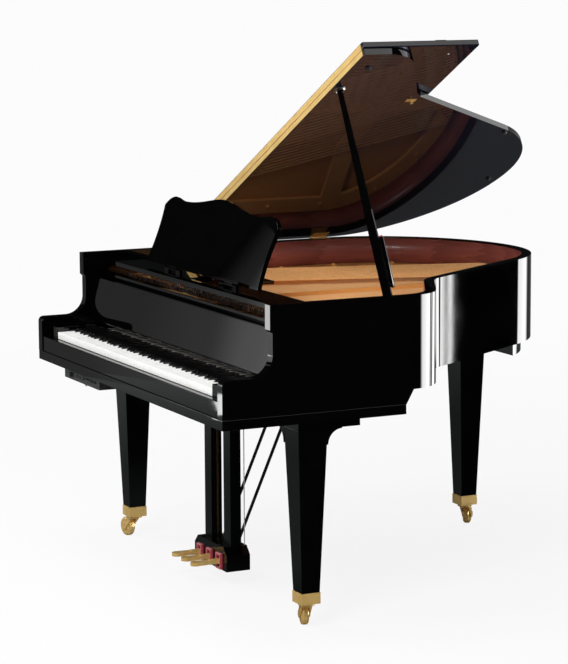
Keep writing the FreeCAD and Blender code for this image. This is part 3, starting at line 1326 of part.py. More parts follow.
def export():
    doc.recompute()
    for item in doc.Objects:
        if "Invalid" in item.State or "Error" in item.State:
            raise RuntimeError("%s failed to build" % item.Label)
    for name, item in PARTS.items():
        if item.Shape.isNull() or not item.Shape.isValid():
            raise RuntimeError("%s has a bad shape" % name)
    os.makedirs("parts", exist_ok=True)
    for name, item in PARTS.items():
        shape = item.Shape.copy()
        shape.translate(Vector(-middle_x, -middle_y, 0))
        shape.exportStep("parts/%s.step" % name)
    print(len(PARTS), "sub-parts")


build()
export()
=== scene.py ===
import json
import math

import bmesh
import bpy
from mathutils import Matrix, Vector
from mathutils.bvhtree import BVHTree

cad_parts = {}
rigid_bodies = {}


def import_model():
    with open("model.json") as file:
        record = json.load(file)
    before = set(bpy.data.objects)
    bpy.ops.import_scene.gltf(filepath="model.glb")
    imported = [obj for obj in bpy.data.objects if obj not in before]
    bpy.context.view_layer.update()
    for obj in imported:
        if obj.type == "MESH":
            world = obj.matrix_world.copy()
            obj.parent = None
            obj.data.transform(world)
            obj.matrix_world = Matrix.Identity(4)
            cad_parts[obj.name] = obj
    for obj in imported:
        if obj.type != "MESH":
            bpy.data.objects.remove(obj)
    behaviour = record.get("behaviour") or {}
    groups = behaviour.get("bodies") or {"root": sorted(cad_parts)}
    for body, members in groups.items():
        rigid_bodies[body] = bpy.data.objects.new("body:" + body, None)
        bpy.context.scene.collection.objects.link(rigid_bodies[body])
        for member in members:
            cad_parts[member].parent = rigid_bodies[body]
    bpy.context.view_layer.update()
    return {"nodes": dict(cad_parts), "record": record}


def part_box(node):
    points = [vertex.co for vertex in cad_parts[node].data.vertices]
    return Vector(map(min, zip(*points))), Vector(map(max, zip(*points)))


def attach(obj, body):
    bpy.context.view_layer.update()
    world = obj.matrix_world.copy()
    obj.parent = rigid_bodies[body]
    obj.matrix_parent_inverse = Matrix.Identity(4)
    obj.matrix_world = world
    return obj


for thing in list(bpy.data.objects):
    bpy.data.objects.remove(thing)

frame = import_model()
NODES = frame["nodes"]

# Places read from the frame, in metres
RIM_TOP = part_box("outer_rim")[1][2]
PLATE_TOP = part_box("tuning_pins")[0][2]
LID_TURN = math.radians(27.5)
LID_BELOW = Vector((math.sin(LID_TURN), 0.0, -math.cos(LID_TURN)))


# Shader node groups
def new_group(name, inputs, outputs):
    tree = bpy.data.node_groups.new(name, "ShaderNodeTree")
    for label, kind, start in inputs:
        socket = tree.interface.new_socket(label, in_out="INPUT", socket_type=kind)
        if start is not None:
            socket.default_value = start
    for label, kind in outputs:
        tree.interface.new_socket(label, in_out="OUTPUT", socket_type=kind)
    return tree, tree.nodes.new("NodeGroupInput"), tree.nodes.new("NodeGroupOutput")


def add(tree, kind, **settings):
    node = tree.nodes.new(kind)
    for key, value in settings.items():
        setattr(node, key, value)
    return node


def feed(tree, node, **values):
    for key, value in values.items():
        numbered = key[0] == "_" and key[1:].isdigit()
        socket = node.inputs[int(key[1:]) if numbered else key.replace("_", " ")]
        if hasattr(value, "is_output"):
            tree.links.new(value, socket)
        else:
            socket.default_value = value
    return node


def sums(tree, operation, first, second=0.0, clamp=False):
    node = add(tree, "ShaderNodeMath", operation=operation, use_clamp=clamp)
    feed(tree, node, _0=first, _1=second)
    return node.outputs[0]


def spread(tree, value, low, high, new_low, new_high):
    node = add(tree, "ShaderNodeMapRange", clamp=True)
    feed(tree, node, _0=value, _1=low, _2=high, _3=new_low, _4=new_high)
    return node.outputs[0]


def blend_colour(tree, mask, first, second):
    node = add(tree, "ShaderNodeMix", data_type="RGBA")
    feed(tree, node, _0=mask, _6=first, _7=second)
    return node.outputs[2]


FLOAT, VECTOR = "NodeSocketFloat", "NodeSocketVector"


def grain_group():
    tree, start, end = new_group(
        "wood_grain",
        [("Vector", VECTOR, None), ("Rings", FLOAT, 8.0), ("Wander", FLOAT, 3.0), ("Fibre", FLOAT, 60.0)],
        [("Tone", FLOAT), ("Height", FLOAT)])
    rings = add(tree, "ShaderNodeTexWave", wave_type="BANDS", bands_direction="X", wave_profile="SAW")
    feed(tree, rings, Vector=start.outputs["Vector"], Scale=start.outputs["Rings"],
         Distortion=start.outputs["Wander"], Detail=3.0, Detail_Scale=1.4)
    fibre = add(tree, "ShaderNodeTexNoise")
    feed(tree, fibre, Vector=start.outputs["Vector"], Scale=start.outputs["Fibre"], Detail=6.0,
         Roughness=0.65)
    ring_part = sums(tree, "MULTIPLY", rings.outputs[1], 0.55)
    fibre_part = sums(tree, "MULTIPLY", fibre.outputs[0], 0.55)
    tone = sums(tree, "ADD", ring_part, fibre_part, True)
    tree.links.new(tone, end.inputs["Tone"])
    tree.links.new(fibre.outputs[0], end.inputs["Height"])
    return tree


def cloud_group():
    tree, start, end = new_group(
        "soft_clouds",
        [("Vector", VECTOR, None), ("Scale", FLOAT, 10.0), ("Low", FLOAT, 0.0), ("High", FLOAT, 1.0)],
        [("Value", FLOAT)])
    noise = add(tree, "ShaderNodeTexNoise")
    feed(tree, noise, Vector=start.outputs["Vector"], Scale=start.outputs["Scale"], Detail=5.0, Roughness=0.6)
    value = add(tree, "ShaderNodeMapRange", clamp=True)
    feed(tree, value, _0=noise.outputs[0], _1=0.3, _2=0.7)
    tree.links.new(start.outputs["Low"], value.inputs[3])
    tree.links.new(start.outputs["High"], value.inputs[4])
    tree.links.new(value.outputs[0], end.inputs["Value"])
    return tree


def grit_group():
    tree, start, end = new_group(
        "fine_grit",
        [("Vector", VECTOR, None), ("Scale", FLOAT, 400.0)],
        [("Height", FLOAT), ("Mask", FLOAT)])
    cells = add(tree, "ShaderNodeTexVoronoi")
    feed(tree, cells, Vector=start.outputs["Vector"], Scale=start.outputs["Scale"])
    noise = add(tree, "ShaderNodeTexNoise")
    feed(tree, noise, Vector=start.outputs["Vector"], Scale=start.outputs["Scale"], Detail=3.0)
    height = sums(tree, "MULTIPLY", cells.outputs[0], noise.outputs[0])
    tree.links.new(height, end.inputs["Height"])
    mask = spread(tree, noise.outputs[0], 0.45, 0.6, 0.0, 1.0)
    tree.links.new(mask, end.inputs["Mask"])
    return tree


GRAIN, CLOUDS, GRIT = grain_group(), cloud_group(), grit_group()


def use_group(tree, group, **values):
    node = add(tree, "ShaderNodeGroup", node_tree=group)
    return feed(tree, node, **values)


# Finishes
def new_finish(name, **sockets):
    finish = bpy.data.materials.new(name)
    finish.use_nodes = True
    tree = finish.node_tree
    tree.nodes.clear()
    out = add(tree, "ShaderNodeOutputMaterial")
    surface = add(tree, "ShaderNodeBsdfPrincipled")
    tree.links.new(surface.outputs[0], out.inputs["Surface"])
    feed(tree, surface, **sockets)
    where = add(tree, "ShaderNodeTexCoord").outputs["Object"]
    return finish, tree, surface, where


def roughen(tree, surface, where, scale, low, high):
    clouds = use_group(tree, CLOUDS, Vector=where, Scale=scale, Low=low, High=high)
    tree.links.new(clouds.outputs["Value"], surface.inputs["Roughness"])


def tint(tree, surface, where, scale, first, second):
    clouds = use_group(tree, CLOUDS, Vector=where, Scale=scale)
    colour = blend_colour(tree, clouds.outputs["Value"], rgb(first), rgb(second))
    tree.links.new(colour, surface.inputs["Base Color"])


def emboss(tree, surface, height, strength, distance):
    bump = add(tree, "ShaderNodeBump")
    feed(tree, bump, Strength=strength, Distance=distance, Height=height)
    tree.links.new(bump.outputs[0], surface.inputs["Normal"])


def rgb(colour):
    return (colour[0], colour[1], colour[2], 1.0)


def turned(tree, where, turn, stretch):
    node = add(tree, "ShaderNodeMapping")
    feed(tree, node, Vector=where, Rotation=turn, Scale=stretch)
    return node.outputs[0]


def make_lacquer(name, index, painted_light_face=None):
    """Black polish; on a lid the face that looks down gets painted light: a lighter bluish colour and a
    tinted reflection
    """
    finish, tree, surface, where = new_finish(name, IOR=index)
    clouds = use_group(tree, CLOUDS, Vector=where, Scale=6.0)
    colour = blend_colour(tree, clouds.outputs["Value"], rgb(BLACK_LOW), rgb(BLACK_HIGH))
    if painted_light_face is not None:
        facing = add(tree, "ShaderNodeVectorMath", operation="DOT_PRODUCT")
        feed(tree, facing, _0=add(tree, "ShaderNodeTexCoord").outputs["Normal"], _1=tuple(painted_light_face))
        under = sums(tree, "GREATER_THAN", facing.outputs["Value"], 0.5)
        # Painted light: the downward face is coloured lighter and bluish and its reflection is tinted,
        # standing in for the lid underside's reflected glow
        painted_glow = blend_colour(tree, clouds.outputs["Value"], rgb(PAINTED_GLOW_LOW), rgb(PAINTED_GLOW_HIGH))
        colour = blend_colour(tree, under, colour, painted_glow)
        painted_reflection_tint = blend_colour(tree, under, rgb((1.0, 1.0, 1.0)), rgb(LID_PAINTED_REFLECTION_TINT))
        tree.links.new(painted_reflection_tint, surface.inputs["Specular Tint"])
    tree.links.new(colour, surface.inputs["Base Color"])
    roughen(tree, surface, where, 9.0, 0.015, 0.045)
    ripple = use_group(tree, CLOUDS, Vector=where, Scale=45.0)
    emboss(tree, surface, ripple.outputs["Value"], 0.02, 0.0002)
    return finish


def make_wood(name, dark, light, turn, stretch, rings, gloss, wander=3.0, coat=0.0):
    finish, tree, surface, where = new_finish(name, Coat_Weight=coat, Coat_Roughness=0.12, IOR=1.48)
    along = turned(tree, where, turn, stretch)
    grain = use_group(tree, GRAIN, Vector=along, Rings=rings, Wander=wander, Fibre=rings * 6)
    colour = blend_colour(tree, grain.outputs["Tone"], rgb(dark), rgb(light))
    tree.links.new(colour, surface.inputs["Base Color"])
    rough = spread(tree, grain.outputs["Tone"], 0.0, 1.0, gloss + 0.08, gloss - 0.05)
    tree.links.new(rough, surface.inputs["Roughness"])
    emboss(tree, surface, grain.outputs["Height"], 0.15, 0.0003)
    return finish


def make_plate_bronze():
    finish, tree, surface, where = new_finish("plate_bronze", Metallic=0.1, IOR=1.5)
    tint(tree, surface, where, 14.0, (0.78, 0.35, 0.10), (0.86, 0.41, 0.12))
    roughen(tree, surface, where, 30.0, 0.34, 0.46)
    grit = use_group(tree, GRIT, Vector=where, Scale=420.0)
    emboss(tree, surface, grit.outputs["Height"], 0.06, 0.0002)
    return finish


def make_metal(name, first, second, low, high, scale=60.0, metallic=1.0):
    finish, tree, surface, where = new_finish(name, Metallic=metallic)
    tint(tree, surface, where, scale / 4, first, second)
    roughen(tree, surface, where, scale, low, high)
    grit = use_group(tree, GRIT, Vector=where, Scale=scale * 20)
    emboss(tree, surface, grit.outputs["Height"], 0.006, 0.00005)
    return finish


def make_bass_wire(bearing):
    finish, tree, surface, where = new_finish("wound_copper", Metallic=0.15)
    place = add(tree, "ShaderNodeSeparateXYZ")
    tree.links.new(where, place.inputs[0])
    wound = sums(tree, "GREATER_THAN", place.outputs[1], bearing)
    clouds = use_group(tree, CLOUDS, Vector=where, Scale=25.0)
    copper = blend_colour(tree, clouds.outputs["Value"], rgb((0.84, 0.40, 0.14)), rgb((0.90, 0.47, 0.18)))
    # The bare steel length is given the plate's warm gold: painted reflection of the plate
    colour = blend_colour(tree, wound, rgb((0.86, 0.50, 0.22)), copper)
    tree.links.new(colour, surface.inputs["Base Color"])
    roughen(tree, surface, where, 80.0, 0.24, 0.36)
    turns = add(tree, "ShaderNodeTexWave", wave_type="BANDS", bands_direction="Y")
    feed(tree, turns, Vector=where, Scale=210.0)
    emboss(tree, surface, turns.outputs[1], 0.12, 0.0002)
    return finish


def make_felt(name, first, second):
    finish, tree, surface, where = new_finish(name, Roughness=0.95, Sheen_Weight=0.4, Sheen_Roughness=0.5)
    tint(tree, surface, where, 240.0, first, second)
    grit = use_group(tree, GRIT, Vector=where, Scale=900.0)
    emboss(tree, surface, grit.outputs["Height"], 0.6, 0.0006)
    return finish


def make_plastic(name, first, second, low, high, grain=700.0, depth=0.1):
    finish, tree, surface, where = new_finish(name, IOR=1.49)
    tint(tree, surface, where, 20.0, first, second)
    roughen(tree, surface, where, 40.0, low, high)
    grit = use_group(tree, GRIT, Vector=where, Scale=grain)
    emboss(tree, surface, grit.outputs["Height"], depth, 0.0002)
    return finish


def make_key_top(name, top, body, shell_low, front, low, high):
    finish, tree, surface, where = new_finish(name, IOR=1.5)
    place = add(tree, "ShaderNodeSeparateXYZ")
    tree.links.new(where, place.inputs[0])
    covered = sums(tree, "GREATER_THAN", place.outputs[2], shell_low)
    if front is not None:
        covered = sums(tree, "MAXIMUM", covered, sums(tree, "LESS_THAN", place.outputs[1], front))
    clouds = use_group(tree, CLOUDS, Vector=where, Scale=12.0)
    shade = tuple(value * 0.93 for value in top)
    cover = blend_colour(tree, clouds.outputs["Value"], rgb(shade), rgb(top))
    along = turned(tree, where, (0.0, 0.0, 0.0), (8.0, 1.0, 8.0))
    grain = use_group(tree, GRAIN, Vector=along, Rings=9.0, Wander=2.0, Fibre=50.0)
    dark = tuple(value * 0.7 for value in body)
    timber = blend_colour(tree, grain.outputs["Tone"], rgb(dark), rgb(body))
    colour = blend_colour(tree, covered, timber, cover)
    tree.links.new(colour, surface.inputs["Base Color"])
    roughen(tree, surface, where, 30.0, low, high)
    emboss(tree, surface, grain.outputs["Height"], 0.04, 0.0002)
    return finish


def make_hammer(head):
    finish, tree, surface, where = new_finish("hammer_wood_and_felt", Roughness=0.8)
    place = add(tree, "ShaderNodeSeparateXYZ")
    tree.links.new(where, place.inputs[0])
    felted = sums(tree, "GREATER_THAN", place.outputs[1], head)
    along = turned(tree, where, (0.0, 0.0, 0.0), (8.0, 1.0, 8.0))
    grain = use_group(tree, GRAIN, Vector=along, Rings=9.0, Wander=2.0, Fibre=60.0)
    timber = blend_colour(tree, grain.outputs["Tone"], rgb((0.42, 0.26, 0.13)), rgb((0.62, 0.44, 0.25)))
    clouds = use_group(tree, CLOUDS, Vector=where, Scale=200.0)
    felt = blend_colour(tree, clouds.outputs["Value"], rgb((0.72, 0.69, 0.62)), rgb((0.83, 0.81, 0.75)))
    tree.links.new(blend_colour(tree, felted, timber, felt), surface.inputs["Base Color"])
    emboss(tree, surface, clouds.outputs["Value"], 0.2, 0.0003)
    return finish


BEARING_Y = -0.350
HAMMER_HEAD_Y = -0.354
KEY_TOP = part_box("white_keys_odd")[1][2]
KEY_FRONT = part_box("white_keys_odd")[0][1]
BLACK_LOW, BLACK_HIGH = (0.0004, 0.0004, 0.0005), (0.0009, 0.0009, 0.0010)
# Painted glow colours and painted reflection tint for the lid's underside
PAINTED_GLOW_LOW, PAINTED_GLOW_HIGH = (0.010, 0.011, 0.019), (0.012, 0.013, 0.022)
LID_PAINTED_REFLECTION_TINT = (0.78, 0.60, 0.95)
LACQUER = make_lacquer("black_lacquer", 1.52)
LID_LACQUER = make_lacquer("lid_lacquer", 1.40, LID_BELOW)
MAHOGANY = make_wood("mahogany_veneer", (0.215, 0.051, 0.038), (0.480, 0.128, 0.096),
                     (0.0, 0.0, 0.5), (1.0, 1.0, 14.0), 3.0, 0.34, 5.0, 0.3)
MAPLE = make_wood("pale_maple", (0.36, 0.21, 0.10), (0.52, 0.34, 0.18),
                  (0.0, 0.0, 0.0), (1.0, 12.0, 12.0), 2.5, 0.5)
SPRUCE = make_wood("varnished_spruce", (0.55, 0.22, 0.05), (0.74, 0.34, 0.09),
                   (0.0, 0.0, 1.02), (24.0, 1.0, 8.0), 3.2, 0.36, 1.2, 0.3)
BRONZE = make_plate_bronze()
# Steel wire is given the gold plate's warm colour: painted reflection of the plate that the wires hide
WIRE_PAINTED_PLATE_GOLD = make_metal("wire_painted_plate_gold", (0.86, 0.48, 0.20), (0.92, 0.55, 0.25), 0.3, 0.42, metallic=0.15)
PIN_STEEL = make_metal("blued_pin_steel", (0.36, 0.37, 0.40), (0.52, 0.53, 0.56), 0.22, 0.36)
COPPER = make_bass_wire(BEARING_Y)
BRASS = make_metal("satin_brass", (0.80, 0.52, 0.17), (0.90, 0.63, 0.24), 0.34, 0.38, metallic=0.55)
ENAMEL = make_plastic("black_enamel", (0.006, 0.006, 0.006), (0.012, 0.012, 0.012), 0.22, 0.34)
RED_FELT = make_felt("red_felt", (0.26, 0.012, 0.025), (0.42, 0.03, 0.05))
CABLE = make_plastic("grey_sheath", (0.30, 0.30, 0.31), (0.38, 0.38, 0.39), 0.4, 0.55)
IVORY = make_key_top("white_key_tops", (0.87, 0.87, 0.85), (0.62, 0.45, 0.26),
                     KEY_TOP - 0.0028, KEY_FRONT + 0.002, 0.16, 0.24)
EBONY = make_key_top("black_key_tops", (0.0015, 0.0015, 0.0015), (0.03, 0.02, 0.012),
                     KEY_TOP - 0.001, None, 0.09, 0.15)
HAMMER = make_hammer(HAMMER_HEAD_Y)
DAMPER = make_plastic("black_damper_wood", (0.010, 0.010, 0.010), (0.02, 0.02, 0.02), 0.3, 0.45)
UNIT = make_plastic("grained_black_plastic", (0.012, 0.012, 0.013), (0.02, 0.02, 0.021),
                    0.35, 0.5, 900.0, 0.4)
RUBBER = make_plastic("dark_rubber", (0.015, 0.015, 0.015), (0.03, 0.03, 0.03), 0.55, 0.7)
PALE_RUBBER = make_plastic("pale_rubber", (0.52, 0.52, 0.50), (0.62, 0.62, 0.60), 0.5, 0.65)

FINISH_OF_SLOT = {
    "black_polish": LACQUER, "bare_wood": MAPLE, "spruce": SPRUCE, "gold_iron": BRONZE, "steel": WIRE_PAINTED_PLATE_GOLD,
    "black_steel": ENAMEL, "copper": COPPER, "brass": BRASS, "red_felt": RED_FELT, "cable_grey": CABLE,
    "key_white": IVORY, "key_black": EBONY, "hammer_felt": HAMMER, "damper_black": DAMPER, "unit_black": UNIT,
}
OWN_FINISH = {"tuning_pins": PIN_STEEL, "bridges": MAPLE, "lid_main": LID_LACQUER, "lid_flap": LID_LACQUER}
for part in frame["record"]["subparts"]:
    node = NODES[part["node"]]
    finish = OWN_FINISH.get(part["node"], FINISH_OF_SLOT[part["material_slot"]])
    node.data.materials.clear()
    node.data.materials.append(finish)


# Softened edges on the sawn and cast pieces
def soften(name, width, segments=2):
    node = NODES[name]
    weld = node.modifiers.new("join_faces", "WELD")
    weld.merge_threshold = 0.00001
    round_off = node.modifiers.new("soft_edges", "BEVEL")
    round_off.width = width
    round_off.segments = segments
    round_off.limit_method = "ANGLE"
    round_off.angle_limit = math.radians(35)
    round_off.use_clamp_overlap = True
    even = node.modifiers.new("even_shading", "WEIGHTED_NORMAL")
    even.keep_sharp = False


SOFT_EDGES = {
    "outer_rim": 0.0022, "keybed": 0.0018, "key_slip": 0.002, "key_blocks": 0.002, "stretcher": 0.0015,
    "legs": 0.002, "leg_corbels": 0.0015, "lyre_posts": 0.0018, "lyre_box": 0.0015, "lid_main": 0.0028,
    "lid_flap": 0.0028, "lid_prop": 0.0012, "lid_prop_short": 0.001, "fallboard": 0.002,
    "music_shelf": 0.0015, "music_desk": 0.002, "desk_stay": 0.001, "desk_rails": 0.001,
    "control_unit": 0.0012, "iron_plate": 0.0015, "leg_ferrules": 0.0008, "white_keys_odd": 0.0006,
    "white_keys_even": 0.0006, "black_keys_odd": 0.0008, "black_keys_even": 0.0008,
}
for name, width in SOFT_EDGES.items():
    soften(name, width)


# Trim
def new_piece(name, mesh_maker, finish, body, reorient=True):
    mesh = bpy.data.meshes.new(name)
    build = bmesh.new()
    mesh_maker(build)
    if reorient:
        bmesh.ops.recalc_face_normals(build, faces=build.faces)
    build.to_mesh(mesh)
    build.free()
    for face in mesh.polygons:
        face.use_smooth = True
    mesh.set_sharp_from_angle(angle=math.radians(40))
    mesh.materials.append(finish)
    piece = bpy.data.objects.new(name, mesh)
    bpy.context.scene.collection.objects.link(piece)
    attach(piece, body)
    return piece


def frame_along(axis):
    axis = Vector(axis).normalized()
    return axis.to_track_quat("Z", "Y").to_matrix().to_4x4()


def turn_profile(build, profile, at, axis=(0, 0, 1), sides=20):
    place = Matrix.Translation(Vector(at)) @ frame_along(axis)
    rings = []
    for radius, height in profile:
        ring = []
        for step in range(sides):
            turn = 2 * math.pi * step / sides
            spot = Vector((radius * math.cos(turn), radius * math.sin(turn), height))
            ring.append(build.verts.new(place @ spot))
        rings.append(ring)
    for low, high in zip(rings, rings[1:]):
        for step in range(sides):
            following = (step + 1) % sides
            build.faces.new((low[step], low[following], high[following], high[step]))
    build.faces.new(list(reversed(rings[0])))
    build.faces.new(rings[-1])


def chamfered_block(build, centre, size, axes, cut):
    """A block with its edges taken off; axes are its three unit directions"""
    turn = Matrix(axes).transposed().to_4x4()
    place = Matrix.Translation(Vector(centre)) @ turn @ Matrix.Diagonal((*size, 1.0))
    made = bmesh.ops.create_cube(build, size=1.0, matrix=place)
    edges = {edge for corner in made["verts"] for edge in corner.link_edges}
    bmesh.ops.bevel(build, geom=list(edges), offset=cut, segments=2, affect="EDGES", profile=0.6)


def bar_along(build, points, radius, sides=10):
    """A round wire through the points"""
    rings = []
    for index, point in enumerate(points):
        ahead = points[min(index + 1, len(points) - 1)] - points[max(index - 1, 0)]
        place = Matrix.Translation(point) @ frame_along(ahead)
        ring = []
        for step in range(sides):
            turn = 2 * math.pi * step / sides
            spot = Vector((radius * math.cos(turn), radius * math.sin(turn), 0.0))
            ring.append(build.verts.new(place @ spot))
        rings.append(ring)
    for low, high in zip(rings, rings[1:]):
        for step in range(sides):
            following = (step + 1) % sides
            build.faces.new((low[step], low[following], high[following], high[step]))
    build.faces.new(list(reversed(rings[0])))
    build.faces.new(rings[-1])


# Mahogany lining inside the rim, black in front of it
LINING_FRONT, LINING_FOOT_GAP, LINING_HEAD_GAP = -0.30, 0.0005, 0.0035
VENEER_THICK = 0.0007
INSIDE = Vector((-0.2, 0.1, 0.0))


def lining(build):
    source = bmesh.new()
    source.from_mesh(NODES["outer_rim"].data)
    bmesh.ops.remove_doubles(source, verts=source.verts, dist=0.00001)
    low, high, front = PLATE_TOP + LINING_FOOT_GAP, RIM_TOP - LINING_HEAD_GAP, LINING_FRONT
    cuts = (((0, 0, low), (0, 0, -1)), ((0, 0, high), (0, 0, 1)), ((0, front, 0), (0, -1, 0)))
    for spot, way in cuts:
        everything = source.verts[:] + source.edges[:] + source.faces[:]
        bmesh.ops.bisect_plane(source, geom=everything, plane_co=spot, plane_no=way, clear_outer=True)
    source.normal_update()
    table = {}
    for face in source.faces:
        centre = face.calc_center_median()
        if abs(face.normal.z) > 0.2 or abs(face.normal.y) > 0.98 and centre.y < front + 0.01:
            continue
        away = centre - INSIDE
        if face.normal.x * away.x + face.normal.y * away.y >= 0:
            continue
        corners = []
        for corner in face.verts:
            if corner not in table:
                table[corner] = build.verts.new(corner.co)
            corners.append(table[corner])
        build.faces.new(corners)
    source.free()


lining_piece = new_piece("rim_lining", lining, MAHOGANY, "case", reorient=False)
veneer = lining_piece.modifiers.new("veneer", "SOLIDIFY")
veneer.thickness = VENEER_THICK
veneer.offset = 1.0


# Strings' fastenings: hitch pins, agraffes and the red cloth under the back lengths
def string_runs(name):
    """Front and back end of each string of a node"""
    mesh = NODES[name].data
    parent = list(range(len(mesh.vertices)))

    def root(index):
        while parent[index] != index:
            parent[index] = parent[parent[index]]
            index = parent[index]
        return index

    spots = {}
    for corner in mesh.vertices:
        key = tuple(round(value, 5) for value in corner.co)
        if key in spots:
            parent[root(corner.index)] = root(spots[key])
        else:
            spots[key] = corner.index
    for edge in mesh.edges:
        parent[root(edge.vertices[0])] = root(edge.vertices[1])
    islands = {}
    for corner in mesh.vertices:
        islands.setdefault(root(corner.index), []).append(corner.co.copy())
    runs = []
    for island in islands.values():
        front, back = min(spot.y for spot in island), max(spot.y for spot in island)
        ends = []
        for level in (front, back):
            near = [spot for spot in island if abs(spot.y - level) < 0.002]
            ends.append(sum(near, Vector()) / len(near))
        runs.append(ends)
    return sorted(runs, key=lambda ends: ends[1].x)


PLATE_TREE = BVHTree.FromObject(NODES["iron_plate"], bpy.context.evaluated_depsgraph_get())


def on_plate(x, y):
    spot, _, _, _ = PLATE_TREE.ray_cast(Vector((x, y, 1.2)), Vector((0, 0, -1)))
    return spot


RUNS = {name: string_runs(name) for name in ("treble_strings", "bass_strings")}
PIN_RADIUS, PIN_RISE = 0.0014, 0.0045
PIN_LEAN = Vector((0.0, 0.18, 1.0)).normalized()
AGRAFFE_RADIUS, AGRAFFE_RISE, AGRAFFE_BACK = 0.00176, 0.004, 0.012
CLOTH_BACK, CLOTH_WIDTH, CLOTH_UNDER, CLOTH_CROWN, CLOTH_BREAK = 0.022, 0.014, 0.0012, 0.0008, 0.05


def hitch_pins(build):
    for runs in RUNS.values():
        for _, back in runs:
            seat = on_plate(back.x, back.y)
            if seat is None or seat.z > back.z:
                continue
            lean = PIN_LEAN
            rise = back.z - seat.z + PIN_RISE
            profile = ((PIN_RADIUS, 0.0), (PIN_RADIUS, rise * 0.93), (PIN_RADIUS * 0.7, rise),
                       (PIN_RADIUS * 0.2, rise))
            turn_profile(build, profile, seat - lean * 0.0003, lean, 8)


def agraffes(build):
    for runs in RUNS.values():
        for front, back in runs:
            share = (BEARING_Y - AGRAFFE_BACK - front.y) / (back.y - front.y)
            spot = front.lerp(back, share)
            seat = on_plate(spot.x, spot.y)
            if seat is None or seat.z > spot.z:
                continue
            rise = spot.z - seat.z + AGRAFFE_RISE
            radius = AGRAFFE_RADIUS
            profile = ((radius, 0.0), (radius, rise * 0.3), (radius * 0.7, rise * 0.36),
                       (radius * 0.95, rise * 0.6), (radius * 0.9, rise * 0.92), (radius * 0.5, rise))
            turn_profile(build, profile, seat, (0, 0, 1), 8)


def back_cloth(build):
    for runs in RUNS.values():
        rows = []
        for front, back in runs:
            way = (back - front).normalized()
            middle = back - way * CLOTH_BACK
            seat = on_plate(middle.x, middle.y)
            if seat is None or seat.z > middle.z - CLOTH_UNDER:
                rows.append(None)
                continue
            top = middle.z - CLOTH_UNDER
            near, far = middle - way * CLOTH_WIDTH / 2, middle + way * CLOTH_WIDTH / 2
            edge = top - CLOTH_CROWN
            shape = ((near, seat.z), (near, edge), (middle, top), (far, edge), (far, seat.z))
            rows.append([build.verts.new((spot.x, spot.y, level)) for spot, level in shape])
        count = 5
        for first, second in zip(rows, rows[1:]):
            if first is None or second is None or (first[2].co - second[2].co).length > CLOTH_BREAK:
                continue
            for step in range(count):
                following = (step + 1) % count
                build.faces.new((first[step], first[following], second[following], second[step]))
        for row in rows:
            if row is not None and 0 < len(row[0].link_faces) < 3:
                build.faces.new(row)


new_piece("hitch_pins", hitch_pins, PIN_STEEL, "case")
new_piece("agraffes", agraffes, BRASS, "case")
new_piece("back_length_cloth", back_cloth, RED_FELT, "case")


# Plate bolts round the edge of the cast plate
BOLT_RADIUS = 0.008
BOLT_SPOTS = ((-0.655, -0.30), (-0.655, -0.10), (-0.655, 0.10), (-0.655, 0.30), (0.655, -0.30), (0.60, -0.16),
              (0.45, -0.06), (-0.45, 0.62), (-0.30, 0.68), (-0.60, 0.50))


def plate_bolts(build):
    for x, y in BOLT_SPOTS:
        seat = on_plate(x, y)
        if seat is None:
            continue
        profile = ((BOLT_RADIUS * 1.35, -0.0002), (BOLT_RADIUS * 1.35, 0.0012), (BOLT_RADIUS, 0.0016),
                   (BOLT_RADIUS * 0.98, 0.0042), (BOLT_RADIUS * 0.7, 0.0062), (BOLT_RADIUS * 0.2, 0.0068))
        turn_profile(build, profile, seat, (0, 0, 1), 18)


new_piece("plate_bolts", plate_bolts, BRONZE, "case")


# Fittings on the lid: bumpers, lock plate, prop socket
LID_ALONG = Vector((math.cos(LID_TURN), 0.0, math.sin(LID_TURN)))
LID_LINE = Vector((0.0, 1.0, 0.0))
HINGE = Vector((-0.72462, 0.0, 0.9685))
LID_GAP_HALF, LID_THICK = 0.0015, 0.0185
CASE_FRONT = -0.760
FLAP_FACE = 0.0429
# Distances from the spine hinge and from the case front
BUMPER_PLACES = ((0.864, 1.325), (0.468, 1.473), (1.385, 0.585))
LOCK_PLACE, FLAP_BLOCK_PLACE, FLAP_BUMPER_PLACE = (1.143, 0.845), (1.440, 0.808), (1.420, 0.842)


def lid_spot(from_hinge, from_front, below=0.0):
    spot = HINGE + LID_ALONG * from_hinge + LID_BELOW * (below - LID_GAP_HALF)
    return Vector((spot.x, CASE_FRONT + from_front, spot.z))


def lid_bumpers(build):
    profile = ((0.0085, -0.0002), (0.0085, 0.003), (0.0075, 0.0055), (0.0045, 0.0072), (0.001, 0.0078))
    for from_hinge, from_front in BUMPER_PLACES:
        turn_profile(build, profile, lid_spot(from_hinge, from_front), LID_BELOW, 18)


def lock_plate(build):
    axes = (LID_ALONG, LID_LINE, LID_BELOW)
    chamfered_block(build, lid_spot(*LOCK_PLACE, 0.0008), (0.018, 0.034, 0.002), axes, 0.0006)
    shank = ((0.0045, 0.0), (0.0045, 0.003), (0.0032, 0.004), (0.0032, 0.007), (0.0055, 0.0078),
             (0.0055, 0.0098), (0.0032, 0.0105), (0.001, 0.0106))
    turn_profile(build, shank, lid_spot(*LOCK_PLACE, 0.0015), LID_BELOW, 18)
    screw = ((0.0026, 0.0), (0.0026, 0.0006), (0.0014, 0.0013), (0.0004, 0.0014))
    for step in (-0.012, 0.012):
        turn_profile(build, screw, lid_spot(LOCK_PLACE[0], LOCK_PLACE[1] + step, 0.0017), LID_BELOW, 10)


